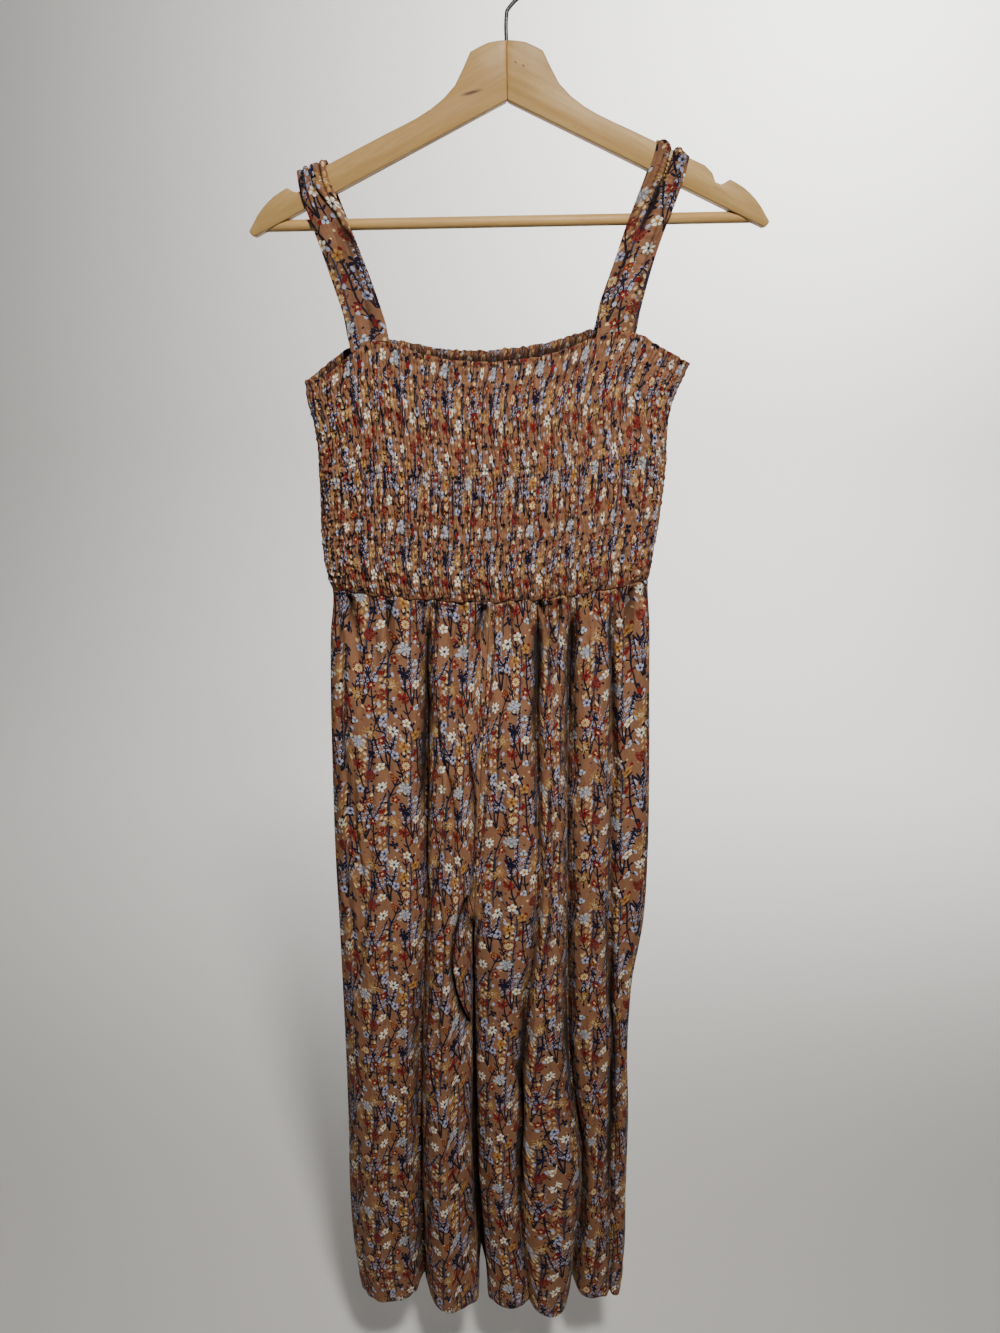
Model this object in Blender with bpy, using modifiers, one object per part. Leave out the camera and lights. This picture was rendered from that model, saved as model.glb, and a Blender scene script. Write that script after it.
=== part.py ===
"""A smocked strappy jumpsuit hung on a wooden hanger.

The origin is where a rail carries the hook, on the inside of its top. +X is to the
right as one faces the garment, -Y is towards the viewer and +Z is up. Every size is
in millimetres and is brought to metres once, where a mesh is made.

Each piece of cloth is a wall: a sheet function gives its middle form over u, across,
and v, down, and the wall is that sheet given an outer and an inner face.
"""

import math
from collections import namedtuple

import bmesh
import bpy
import numpy as np
from mathutils import Matrix, Vector

MM = 0.001
SEAM_GAP = 0.3

# ---------------------------------------------------------------- the hanger
HANGER_SPAN = 444.0
HANGER_TOP = -68.0
HANGER_THICK = 13.0
HANGER_TILT = math.radians(1.0)
WOOD_ROUND = 1.2
BAR_RADIUS = 4.75
BAR_HALF_LENGTH = 207.0
BAR_HEIGHT = -202.5
SOCKET_START = 150.0
SOCKET_DEPTH = 208.5
SOCKET_SIDES = 20
BAR_SIDES = 16

# Half of the hanger's outline, from the top of the mitre round to its foot.
Corner = namedtuple("Corner", "x z")
HEAD_CREST = (Corner(0.0, HANGER_TOP), Corner(15.0, -69.7), Corner(29.5, -76.0))
SHOULDER = (
    Corner(34.5, -85.5), Corner(43.3, -100.5), Corner(58.0, -113.3),
    Corner(75.0, -123.0), Corner(98.0, -133.0), Corner(150.0, -156.0),
)
NOTCH = (
    Corner(165.0, -162.5), Corner(171.5, -168.5), Corner(174.5, -175.5),
    Corner(179.0, -177.3), Corner(183.0, -176.0), Corner(186.5, -173.5),
)
END_LOBE = (
    Corner(197.0, -179.0), Corner(209.0, -189.0), Corner(217.5, -200.0),
    Corner(HANGER_SPAN / 2, -209.5), Corner(218.5, -211.5),
)
MITRE_FOOT = Corner(0.0, -111.4)
CREST_STEPS = 5
SHOULDER_STEPS = 12
LOBE_STEPS = 9

HOOK_WIRE = 1.6
HOOK_INSIDE = 19.0
HOOK_FIRST_ANGLE = -58.0
HOOK_LAST_ANGLE = 205.0
HOOK_STEP = 13.0
STEM_FOOT = -92.0
# The wire's bend between its upright stem and the round.
STEM_BEND = (Corner(0.0, -50.0), Corner(0.5, -46.5), Corner(2.8, -43.5))
STEM_SINK = 0.2
STEM_HOLE_DEPTH = 60.0

# ---------------------------------------------------------------- the garment
CLOTH = 1.3
HEM = -1400.0

# The garment's own outline from the front, a row for each height.
Side = namedtuple("Side", "z left right")
SIDES = (
    Side(-320, -179.0, 166.0),
    Side(-345, -178.0, 157.0),
    Side(-369, -173.0, 149.0),
    Side(-425, -171.0, 146.5),
    Side(-473, -172.0, 143.0),
    Side(-510, -169.5, 138.0),
    Side(-527, -166.0, 136.5),
    Side(-575, -170.0, 140.0),
    Side(-630, -173.0, 142.5),
    Side(-724, -176.0, 147.0),
    Side(-820, -178.0, 150.0),
    Side(-900, -178.0, 149.0),
    Side(-980, -178.5, 139.5),
    Side(-1046, -179.0, 138.0),
    Side(-1161, -181.0, 143.5),
    Side(-1263, -184.0, 144.5),
    Side(-1350, -182.5, 146.5),
    Side(HEM, -178.0, 142.0),
)

# Heights of the cut edges along the width.
Edge = namedtuple("Edge", "x z")
FRONT_TOP = (
    Edge(-179, -333.5), Edge(-160, -329.5), Edge(-146, -319.0), Edge(-133, -308.5),
    Edge(-117, -301.0), Edge(-100, -301.5), Edge(-90, -305.0), Edge(-55, -314.0),
    Edge(-19, -317.0), Edge(10, -315.0), Edge(43, -309.0), Edge(71, -299.0),
    Edge(95, -292.5), Edge(113, -293.5), Edge(140, -307.0), Edge(166, -320.0),
)
BACK_TOP = (
    Edge(-179, -333.5), Edge(-139, -305.0), Edge(-121, -299.5), Edge(-102, -299.0),
    Edge(-57, -306.5), Edge(-13, -307.5), Edge(44, -299.5), Edge(74, -290.5),
    Edge(95, -288.0), Edge(112, -291.5), Edge(140, -307.0), Edge(166, -320.0),
)
WAIST = (
    Edge(-166, -524.0), Edge(-99, -530.5), Edge(-15, -534.0), Edge(88, -524.0),
    Edge(137, -515.0),
)

# The smocked band: how far its front and back stand from the middle, by height.
Depth = namedtuple("Depth", "z front back")
BAND_DEPTHS = (
    Depth(-290, 19.5, 12.0),
    Depth(-330, 21.0, 12.5),
    Depth(-420, 24.0, 13.5),
    Depth(-490, 23.0, 14.0),
    Depth(-535, 21.0, 13.5),
)
BAND_LEVEL = -327.0
WAIST_LEVEL = -527.0
BAND_ROUNDNESS = 0.62
BAND_HALF_WIDTH = 160.0
BAND_DEPTH = 22.0
SMOCK_RIDGES = 60
SMOCK_HEIGHT = 1.5
SMOCK_ROWS = 6
SMOCK_PINCH = 0.55
PLAIN_ROWS = 2

# Where the folds are read: a value at each of these heights, eased in between.
FOLD_HEIGHTS = (-530.0, -700.0, -860.0, -1070.0, -1230.0, HEM)
Fold = namedtuple("Fold", "waist hip rise knee shin hem")

# A line down a leg: where it lies across the width and how deep it is.
Line = namedtuple("Line", "x y")
# The lobe between two lines: its crest, and the columns that the wall gives it.
Lobe = namedtuple("Lobe", "y columns")

CENTRE_X = Fold(-14.5, -24.0, -32.0, -34.0, -34.0, -25.5)
CROTCH = -866.0
CROTCH_DROP = 34.0
INSEAM_SPREAD = Fold(0.0, 0.0, 0.0, 3.5, 6.5, 6.0)
FRONT_CENTRE_Y = Fold(-17.0, -19.0, -20.0, -20.0, -20.0, -20.0)
BACK_CENTRE_Y = Fold(12.0, 13.0, 13.5, 13.5, 13.5, 13.5)

FRONT_LEFT_LINES = (
    Line(Fold(-76, -79, -84, -95, -100, -98), Fold(-11, -5, -2, 0, 0, 0)),
)
FRONT_LEFT_LOBES = (
    Lobe(Fold(-21, -24, -26, -32, -36, -38), 17),
    Lobe(Fold(-21, -25, -27, -34, -44, -52), 11),
)
FRONT_RIGHT_LINES = (
    Line(Fold(30, 33, 34, 20, 16, 31), Fold(-14, -15, -16, -20, -27, -38)),
    Line(Fold(62, 64, 67, 74, 92, 84), Fold(-9, -4, -2, -1, -1, -4)),
    Line(Fold(103, 108, 112, 119, 124, 126), Fold(-10, -6, -8, -14, -22, -27)),
)
FRONT_RIGHT_LOBES = (
    Lobe(Fold(-21, -25, -27, -31, -38, -46), 8),
    Lobe(Fold(-21, -25, -27, -34, -46, -58), 9),
    Lobe(Fold(-20, -23, -24, -25, -28, -32), 8),
    Lobe(Fold(-14, -16, -17, -20, -23, -26), 6),
)
BACK_LEFT_LINES = (
    Line(Fold(-98, -104, -112, -118, -121, -118), Fold(9, 8, 9, 10, 10, 10)),
)
BACK_LEFT_LOBES = (
    Lobe(Fold(13, 16, 17, 18, 18, 19), 12),
    Lobe(Fold(13, 16, 18, 19, 20, 21), 11),
)
BACK_RIGHT_LINES = (
    Line(Fold(20, 24, 28, 30, 32, 36), Fold(10, 9, 9, 10, 10, 11)),
    Line(Fold(80, 84, 90, 94, 96, 94), Fold(9, 8, 9, 10, 10, 10)),
)
BACK_RIGHT_LOBES = (
    Lobe(Fold(13, 16, 17, 18, 19, 20), 9),
    Lobe(Fold(13, 16, 18, 19, 20, 21), 9),
    Lobe(Fold(12, 14, 15, 16, 17, 18), 7),
)
LOBE_FULLNESS = 0.62
LOBE_CROWDING = 0.55
LEG_DROPS = (0, 22, 55, 105, 165, 235, 300, 338, 372, 430, 510, 600, 690, 785, 873)
GATHER_EASE = 45.0
GATHER_ROOM = 14.0
GATHER_HELD = 0.7
CROTCH_FALL = 0.95
CROTCH_FALL_SPAN = 62.0

# Short folds that leave the gathered waist: where, how deep, how long and how wide.
Gather = namedtuple("Gather", "x depth length width")
FRONT_GATHERS = (
    Gather(-143, 4.0, 170, 6), Gather(-125, 5.5, 250, 6), Gather(-106, 2.5, 70, 6),
    Gather(-92, 3.0, 95, 5), Gather(-60, 3.0, 80, 5), Gather(-43, 4.5, 190, 5),
    Gather(-28, 2.5, 60, 5), Gather(-3, 5.0, 210, 5), Gather(14, 2.5, 75, 5),
    Gather(46, 3.0, 110, 5), Gather(78, 3.0, 90, 5), Gather(90, 2.5, 60, 5),
    Gather(119, 3.0, 120, 5),
)
BACK_GATHERS = (
    Gather(-146, 2.0, 130, 6), Gather(-126, 2.5, 180, 6), Gather(-78, 2.5, 90, 6),
    Gather(-62, 2.0, 150, 6), Gather(-40, 2.5, 110, 6), Gather(-2, 2.0, 90, 6),
    Gather(40, 2.5, 160, 6), Gather(58, 2.0, 80, 6), Gather(104, 2.5, 140, 6),
    Gather(120, 2.0, 90, 6),
)

# A strap's path, from the front of the band over the hanger and down to the back.
# lean is the slope of its width, up to the right, and crease how far its folds stand.
Station = namedtuple("Station", "x y z width lean crease")
LEFT_STRAP = (
    Station(-117.5, -16.4, -301.0, 35.0, 0.0, 0.0),
    Station(-122.0, -14.8, -284.0, 34.5, 0.0, 0.6),
    Station(-128.5, -12.2, -264.0, 34.5, 0.0, 1.0),
    Station(-136.0, -9.8, -242.0, 34.0, 0.0, 1.4),
    Station(-144.5, -8.6, -219.0, 32.0, 2.0, 2.2),
    Station(-153.0, -8.3, -197.0, 29.5, 8.0, 1.8),
    Station(-160.5, -8.2, -177.0, 27.0, 14.0, 1.6),
    Station(-162.5, -8.0, -166.0, 26.0, 16.0, 1.5),
    Station(-163.0, -7.4, -161.4, 26.0, 16.0, 1.4),
    Station(-163.2, -4.3, -160.3, 26.0, 16.0, 1.4),
    Station(-163.2, 0.0, -160.0, 26.0, 16.0, 1.4),
    Station(-163.2, 4.3, -160.3, 26.0, 16.0, 1.4),
    Station(-163.0, 7.4, -161.4, 26.0, 16.0, 1.4),
    Station(-162.5, 8.0, -166.0, 26.0, 16.0, 1.2),
    Station(-159.0, 8.3, -180.0, 28.0, 12.0, 1.0),
    Station(-149.0, 8.6, -210.0, 31.0, 4.0, 0.8),
    Station(-138.0, 9.2, -244.0, 33.5, 0.0, 0.6),
    Station(-128.0, 9.8, -276.0, 34.5, 0.0, 0.4),
    Station(-121.0, 10.0, -299.0, 35.0, 0.0, 0.0),
)
RIGHT_STRAP = (
    Station(95.0, -16.9, -292.0, 34.5, 0.0, 0.0),
    Station(99.0, -15.0, -275.0, 34.5, 0.0, 0.6),
    Station(104.5, -12.2, -254.0, 34.0, 0.0, 1.0),
    Station(111.0, -9.8, -231.0, 33.5, -2.0, 1.4),
    Station(118.5, -8.6, -208.0, 33.0, -7.0, 2.0),
    Station(127.0, -8.3, -186.0, 32.0, -13.0, 2.6),
    Station(135.0, -8.2, -165.0, 30.5, -20.0, 3.0),
    Station(138.0, -8.0, -153.0, 30.0, -23.0, 3.4),
    Station(139.0, -7.4, -148.1, 30.0, -23.0, 3.6),
    Station(139.5, -4.3, -146.9, 30.0, -23.0, 3.6),
    Station(139.5, 0.0, -146.6, 30.0, -23.0, 3.6),
    Station(139.5, 4.3, -146.9, 30.0, -23.0, 3.6),
    Station(139.0, 7.4, -148.1, 30.0, -23.0, 3.0),
    Station(138.0, 8.0, -153.0, 30.0, -23.0, 2.0),
    Station(133.5, 8.3, -170.0, 31.0, -18.0, 1.4),
    Station(122.5, 8.6, -202.0, 33.0, -8.0, 0.8),
    Station(111.0, 9.2, -236.0, 34.0, 0.0, 0.6),
    Station(101.0, 9.8, -266.0, 34.5, 0.0, 0.4),
    Station(95.0, 10.0, -288.0, 35.0, 0.0, 0.0),
)
STRAP_COLUMNS = 8
ROWS_A_STATION = 2
STRAP_CROWN_Y = 2.0
STRAP_TOP_Y = 7.5

Finish = namedtuple("Finish", "red green blue roughness metallic")
PRINTED_CLOTH = Finish(0.36, 0.16, 0.08, 0.85, 0.0)
BEECH = Finish(0.62, 0.42, 0.21, 0.5, 0.0)
BEECH_BAR = Finish(0.56, 0.36, 0.17, 0.5, 0.0)
NICKEL = Finish(0.56, 0.56, 0.58, 0.25, 1.0)


# ---------------------------------------------------------------- curves and tables
def eased(value, places, values):
    """A smooth curve through a table's rows, read at one place or at many."""
    places = np.asarray(places, float)
    values = np.asarray(values, float)
    slopes = np.gradient(values, places)
    at = np.clip(value, places.min(), places.max())
    row = np.clip(np.searchsorted(places, at, side="right") - 1, 0, len(places) - 2)
    span = places[row + 1] - places[row]
    t = (at - places[row]) / span
    start = (2 * t**3 - 3 * t**2 + 1) * values[row] + (t**3 - 2 * t**2 + t) * span * slopes[row]
    end = (3 * t**2 - 2 * t**3) * values[row + 1] + (t**3 - t**2) * span * slopes[row + 1]
    return start + end


def column_of(table, place, name, value):
    """A table's named column, eased over the column that gives each row's place."""
    rows = sorted(table, key=lambda row: getattr(row, place))
    places = [getattr(row, place) for row in rows]
    return eased(value, places, [getattr(row, name) for row in rows])


def fold_at(fold, z):
    """A fold's value at a height."""
    return eased(z, FOLD_HEIGHTS[::-1], tuple(fold)[::-1])


def edge_height(table, x):
    return column_of(table, "x", "z", x)


def ease(t):
    t = np.clip(t, 0.0, 1.0)
    return t * t * (3 - 2 * t)


# ---------------------------------------------------------------- the cloth's forms
def even_turns(count, roundness, half_width, depth):
    """Turns from 0 to pi that space points evenly along a flattened round."""
    fine = np.linspace(0.0, math.pi, 721)
    across = -half_width * np.cos(fine)
    away = depth * np.clip(np.sin(fine), 0.0, 1.0) ** roundness
    run = np.concatenate([[0.0], np.cumsum(np.hypot(np.diff(across), np.diff(away)))])
    return np.interp(np.linspace(0.0, run[-1], count), run, fine)


def band_away(face, x, z):
    """How far the smocked band's form stands off the middle plane."""
    left = column_of(SIDES, "z", "left", z)
    right = column_of(SIDES, "z", "right", z)
    cosine = np.clip((2 * x - left - right) / (right - left), -1.0, 1.0)
    depth = column_of(BAND_DEPTHS, "z", "front" if face < 0 else "back", z)
    lift = np.sqrt(1 - cosine**2) ** BAND_ROUNDNESS
    return SEAM_GAP / 2 + (depth - CLOTH / 2) * lift


def band_sheet(face, top, turns, rows):
    """The smocked band's form: its points by row and column, face -1 front, +1 back."""
    points = np.empty((rows + 1, len(turns), 3))
    for row in range(rows + 1):
        v = row / rows
        level = BAND_LEVEL + (WAIST_LEVEL - BAND_LEVEL) * v
        left = column_of(SIDES, "z", "left", level)
        right = column_of(SIDES, "z", "right", level)
        x = (left + right) / 2 - (right - left) / 2 * np.cos(turns)
        z_top = edge_height(top, x)
        z_foot = edge_height(WAIST, x) + SEAM_GAP / 2
        z = z_top + (z_foot - z_top) * v
        depth = column_of(BAND_DEPTHS, "z", "front" if face < 0 else "back", z)
        away = SEAM_GAP / 2 + (depth - CLOTH / 2) * np.sin(turns) ** BAND_ROUNDNESS
        points[row] = np.stack([x, face * away, z], axis=1)
    return points


def inner_edge(leg, z):
    """The line where a leg's panels end at the middle: leg -1 left, +1 right."""
    apart = SEAM_GAP / 2 + CLOTH / 2 * shut(z) + fold_at(INSEAM_SPREAD, z)
    return fold_at(CENTRE_X, z) + leg * apart


def shut(z):
    """0 down the centre seam, 1 where a leg's front and back have met below the crotch."""
    return ease((CROTCH - z) / CROTCH_DROP)


def centre_depth(face, z):
    """How far the inner edge stands off: on the centre seam above, shut below the crotch."""
    above = fold_at(FRONT_CENTRE_Y if face < 0 else BACK_CENTRE_Y, z)
    return above + (face * SEAM_GAP / 2 - above) * shut(z)


def leg_sheet(leg, face, lines, lobes, gathers):
    """One leg panel's form, as lobes between the lines that its deep folds follow."""
    rows = []
    for drop in LEG_DROPS:
        level = WAIST_LEVEL - drop
        side = column_of(SIDES, "z", "left" if leg < 0 else "right", level)
        stops = [Line(side, face * SEAM_GAP / 2)]
        inner = Line(inner_edge(leg, level), centre_depth(face, level))
        between = [Line(fold_at(line.x, level), fold_at(line.y, level)) for line in lines]
        stops = stops + between + [inner] if leg < 0 else [inner] + between + stops
        x, y = [stops[0].x], [stops[0].y]
        for lobe, start, end in zip(lobes, stops, stops[1:]):
            crest = fold_at(lobe.y, level)
            for step in range(1, lobe.columns + 1):
                even = step / lobe.columns
                crowded = (1 - math.cos(math.pi * even)) / 2
                q = even + (crowded - even) * LOBE_CROWDING
                fullness = LOBE_FULLNESS
                if face < 0 and leg < 0 and end is inner and even > 0.5:
                    lens = (level - (CROTCH - CROTCH_FALL_SPAN)) / CROTCH_FALL_SPAN
                    fullness += CROTCH_FALL * math.exp(-lens * lens)
                rise = math.sin(math.pi * q) ** fullness if step < lobe.columns else 0.0
                x.append(start.x + (end.x - start.x) * q)
                floor = start.y + (end.y - start.y) * q
                y.append(floor + (crest - floor) * rise)
        rows.append(np.stack([x, y, np.full(len(x), level)], axis=1))
    points = np.array(rows)
    down = (points[:, :, 2] - WAIST_LEVEL) / (HEM - WAIST_LEVEL)
    waist = edge_height(WAIST, points[:, :, 0]) - SEAM_GAP / 2
    points[:, :, 2] = waist + (HEM - waist) * down
    sewn = 1 - ease((waist - points[:, :, 2]) / GATHER_EASE)
    band = face * band_away(face, points[:, :, 0], points[:, :, 2])
    points[:, :, 1] += (band - points[:, :, 1]) * sewn
    for gather in gathers:
        below = (waist - points[:, :, 2]) / gather.length
        across = (points[:, :, 0] - gather.x) / gather.width
        room = np.abs(points[:, :, 1]) / GATHER_ROOM
        sunk = gather.depth * np.exp(-across**2) * (1 - ease(below)) * np.clip(room, 0, 1)
        sunk *= 1 - GATHER_HELD * sewn
        points[:, :, 1] -= face * sunk
    return points


def strap_sheet(strap):
    """A strap's form: its width follows the path, with lengthwise folds in it."""
    last = len(strap) - 1
    rows = last * ROWS_A_STATION
    points = np.empty((rows + 1, STRAP_COLUMNS + 1, 3))
    for row in range(rows + 1):
        at = row / ROWS_A_STATION
        x, y, z, width, lean, crease = (
            eased(at, range(last + 1), [getattr(station, name) for station in strap])
            for name in Station._fields
        )
        face, top = (-1, FRONT_TOP) if at < last / 2 else (1, BACK_TOP)
        over = 1 - ease((abs(y) - STRAP_CROWN_Y) / (STRAP_TOP_Y - STRAP_CROWN_Y))
        joined = 1 - ease(min(at, last - at))
        for column in range(STRAP_COLUMNS + 1):
            t = column / STRAP_COLUMNS
            across = (t - 0.5) * width
            px = x + across * math.cos(math.radians(lean))
            pz = z + across * math.sin(math.radians(lean))
            stand = crease * math.sin(2 * math.pi * t) ** 2
            py = y + face * stand * (1 - over)
            pz += stand * over
            pz += (edge_height(top, px) + SEAM_GAP - pz) * joined
            py += (face * band_away(face, px, pz) - py) * joined
            points[row, column] = (px, py, pz)
    return points


# ---------------------------------------------------------------- meshes
def finish_of(name, finish):
    material = bpy.data.materials.new(name)
    material.use_nodes = True
    surface = material.node_tree.nodes["Principled BSDF"]
    surface.inputs["Base Color"].default_value = (finish.red, finish.green, finish.blue, 1.0)
    surface.inputs["Roughness"].default_value = finish.roughness
    surface.inputs["Metallic"].default_value = finish.metallic
    return material


def added(name, data, collection, material):
    piece = bpy.data.objects.new(name, data)
    data.materials.append(material)
    collection.objects.link(piece)
    return piece


def outward(points, away):
    """Unit normals of a sheet's points, turned to the side that away names."""
    across = np.gradient(points, axis=1)
    down = np.gradient(points, axis=0)
    normals = np.cross(across, down)
    normals /= np.linalg.norm(normals, axis=2, keepdims=True)
    middle = normals[normals.shape[0] // 2, normals.shape[1] // 2]
    return normals if np.dot(middle, away) > 0 else -normals


def grid(bm, points):
    """A grid of faces with these points, row by row."""
    rows, columns = points.shape[:2]
    made = bmesh.ops.create_grid(bm, x_segments=columns - 1, y_segments=rows - 1, size=0.5)
    for vert in made["verts"]:
        column = round((vert.co.x + 0.5) * (columns - 1))
        row = round((vert.co.y + 0.5) * (rows - 1))
        vert.co = Vector(points[row, column]) * MM
    return made["verts"]


def wall(name, outer, inner, collection, material, kept_rows=None):
    """A closed wall between two sheets of like size. Of its inner rows only some may stay."""
    bm = bmesh.new()
    grid(bm, outer)
    inner_verts = grid(bm, inner)
    rims = [edge for edge in bm.edges if edge.is_boundary]
    bmesh.ops.bridge_loops(bm, edges=rims)
    if kept_rows:
        row_of = {vert: index // inner.shape[1] for index, vert in enumerate(inner_verts)}
        kept = {0, inner.shape[0] - 1, *kept_rows}
        spare = [
            edge for edge in bm.edges
            if row_of.get(edge.verts[0], 0) == row_of.get(edge.verts[1], 0)
            and row_of.get(edge.verts[0], 0) not in kept
        ]
        bmesh.ops.dissolve_edges(bm, edges=spare, use_verts=True, use_face_split=False)
    bmesh.ops.recalc_face_normals(bm, faces=bm.faces)
    mesh = bpy.data.meshes.new(name)
    bm.to_mesh(mesh)
    bm.free()
    mesh.shade_smooth()
    mesh.set_sharp_from_angle(angle=math.radians(50))
    return added(name, mesh, collection, material)


def smocked_panel(name, face, top, collection, material):
    """A band panel: ridges raised in its outer points, over a plain inside."""
    columns = 2 * SMOCK_RIDGES + 1
    turns = even_turns(columns, BAND_ROUNDNESS, BAND_HALF_WIDTH, BAND_DEPTH)
    sheet = band_sheet(face, top, turns, SMOCK_ROWS)
    normals = outward(sheet, (0.0, face, 0.0))
    normals[:, 0] = (-1.0, 0.0, 0.0)
    normals[:, -1] = (1.0, 0.0, 0.0)
    ridge = np.zeros((SMOCK_ROWS + 1, columns))
    ridge[:, 1::2] = SMOCK_HEIGHT
    ridge[0::2] *= SMOCK_PINCH
    outer = sheet + normals * (CLOTH / 2 + ridge[:, :, None])
    inner = sheet - normals * (CLOTH / 2)
    kept = [round(SMOCK_ROWS * k / (PLAIN_ROWS + 1)) for k in range(1, PLAIN_ROWS + 1)]
    return wall(name, outer, inner, collection, material, kept)


def cloth_wall(name, sheet, normals, collection, material):
    """An even wall about a sheet."""
    half = normals * (CLOTH / 2)
    return wall(name, sheet + half, sheet - half, collection, material)


def leg_panel(name, leg, face, sheet, collection, material):
    """A leg panel, its edges squared to the seams that they meet at."""
    normals = outward(sheet, (0.0, face, 0.0))
    side, inner = (0, -1) if leg < 0 else (-1, 0)
    normals[:, side] = (leg, 0.0, 0.0)
    closed = shut(sheet[:, inner, 2])
    normals[:, inner, 0] = -leg * closed
    normals[:, inner, 1] = face * (1 - closed)
    normals[:, inner, 2] = 0.0
    normals /= np.linalg.norm(normals, axis=2, keepdims=True)
    return cloth_wall(name, sheet, normals, collection, material)


def strap(name, stations, collection, material):
    """A strap, whose middle lies over the hanger and so faces up."""
    sheet = strap_sheet(stations)
    return cloth_wall(name, sheet, outward(sheet, (0.0, 0.0, 1.0)), collection, material)


# ---------------------------------------------------------------- hanger pieces
def rounded_run(corners, steps):
    """Points on a smooth curve through a run of corners."""
    xs = [corner.x for corner in corners]
    zs = [corner.z for corner in corners]
    run = np.concatenate([[0.0], np.cumsum(np.hypot(np.diff(xs), np.diff(zs)))])
    at = np.linspace(0.0, run[-1], steps)
    return list(zip(eased(at, run, xs), eased(at, run, zs)))


def arm_outline(side):
    points = rounded_run(HEAD_CREST, CREST_STEPS)
    points += rounded_run((HEAD_CREST[-1],) + SHOULDER, SHOULDER_STEPS)[1:]
    points += [(corner.x, corner.z) for corner in NOTCH]
    points += rounded_run((NOTCH[-1],) + END_LOBE, LOBE_STEPS)[1:]
    points += [(MITRE_FOOT.x, MITRE_FOOT.z)]
    return [(side * max(x, SEAM_GAP / 2), z) for x, z in points]


def flat_curve(name, outline, thick):
    """An outline in the XY plane, made a plate of that thickness about it."""
    curve = bpy.data.curves.new(name, "CURVE")
    curve.dimensions = "2D"
    curve.fill_mode = "BOTH"
    curve.extrude = thick / 2 * MM
    spline = curve.splines.new("POLY")
    spline.points.add(len(outline) - 1)
    for point, (x, z) in zip(spline.points, outline):
        point.co = (x * MM, z * MM, 0.0, 1.0)
    spline.use_cyclic_u = True
    return curve


def hanger_turn():
    """From the hanger's own level frame to the tilt at which it hangs."""
    pivot = Matrix.Translation((0.0, 0.0, HANGER_TOP * MM))
    tilt = Matrix.Rotation(-HANGER_TILT, 4, "Y")
    return pivot @ tilt @ pivot.inverted()


def hanger_arm(name, side, socket, collection, material):
    """One arm, sawn from a board, its edges rounded and drilled for the bar."""
    outline = flat_curve(name, arm_outline(side), HANGER_THICK)
    guide = bpy.data.objects.new(name + "_outline", outline)
    collection.objects.link(guide)
    bpy.context.view_layer.update()
    graph = bpy.context.evaluated_depsgraph_get()
    mesh = bpy.data.meshes.new_from_object(guide.evaluated_get(graph))
    bpy.data.objects.remove(guide)
    bm = bmesh.new()
    bm.from_mesh(mesh)
    bmesh.ops.remove_doubles(bm, verts=bm.verts, dist=1e-5)
    upright = Matrix.Rotation(math.radians(90), 4, "X")
    bmesh.ops.transform(bm, matrix=upright, verts=bm.verts)
    bmesh.ops.recalc_face_normals(bm, faces=bm.faces)
    bm.to_mesh(mesh)
    bm.free()
    mesh.materials.clear()
    arm = added(name, mesh, collection, material)
    arm.matrix_world = hanger_turn()
    rounding = arm.modifiers.new("rounded edges", "BEVEL")
    rounding.width = WOOD_ROUND * MM
    rounding.segments = 2
    rounding.limit_method = "ANGLE"
    rounding.angle_limit = math.radians(60)
    cut = arm.modifiers.new("socket", "BOOLEAN")
    cut.operation = "DIFFERENCE"
    cut.object = socket
    return arm


def turned_rod(name, radius, half_length, sides):
    """A rod along X, centred on the hanger's bar."""
    bm = bmesh.new()
    bmesh.ops.create_cone(
        bm, cap_ends=True, segments=sides, radius1=radius * MM, radius2=radius * MM,
        depth=2 * half_length * MM,
    )
    lying = Matrix.Rotation(math.radians(90), 4, "Y")
    lowered = Matrix.Translation((0.0, 0.0, BAR_HEIGHT * MM))
    bmesh.ops.transform(bm, matrix=lowered @ lying, verts=bm.verts)
    mesh = bpy.data.meshes.new(name)
    bm.to_mesh(mesh)
    bm.free()
    mesh.shade_smooth()
    mesh.set_sharp_from_angle(angle=math.radians(40))
    return mesh


def hook_path():
    """The wire's middle line: up the stem, a bend to the right, and over the rail."""
    round_radius = HOOK_INSIDE + HOOK_WIRE
    middle = -HOOK_INSIDE
    turns = np.radians(np.arange(HOOK_FIRST_ANGLE, HOOK_LAST_ANGLE, HOOK_STEP))
    across = round_radius * np.cos(turns)
    up = middle + round_radius * np.sin(turns)
    bend = STEM_BEND[-1]
    lead = ((bend.x + across[0]) / 2, (bend.z + up[0]) / 2 - STEM_SINK)
    return [(0.0, STEM_FOOT), *STEM_BEND, lead, *zip(across, up)]


def hook(name, collection, material):
    curve = bpy.data.curves.new(name, "CURVE")
    curve.dimensions = "3D"
    curve.bevel_depth = HOOK_WIRE * MM
    curve.bevel_resolution = 2
    curve.use_fill_caps = True
    path = hook_path()
    spline = curve.splines.new("POLY")
    spline.points.add(len(path) - 1)
    for point, (x, z) in zip(spline.points, path):
        point.co = (x * MM, 0.0, z * MM, 1.0)
    return added(name, curve, collection, material)


# ---------------------------------------------------------------- the whole
def clear_scene():
    for piece in list(bpy.data.objects):
        bpy.data.objects.remove(piece)


def collection_named(name):
    collection = bpy.data.collections.new(name)
    bpy.context.scene.collection.children.link(collection)
    return collection


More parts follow.
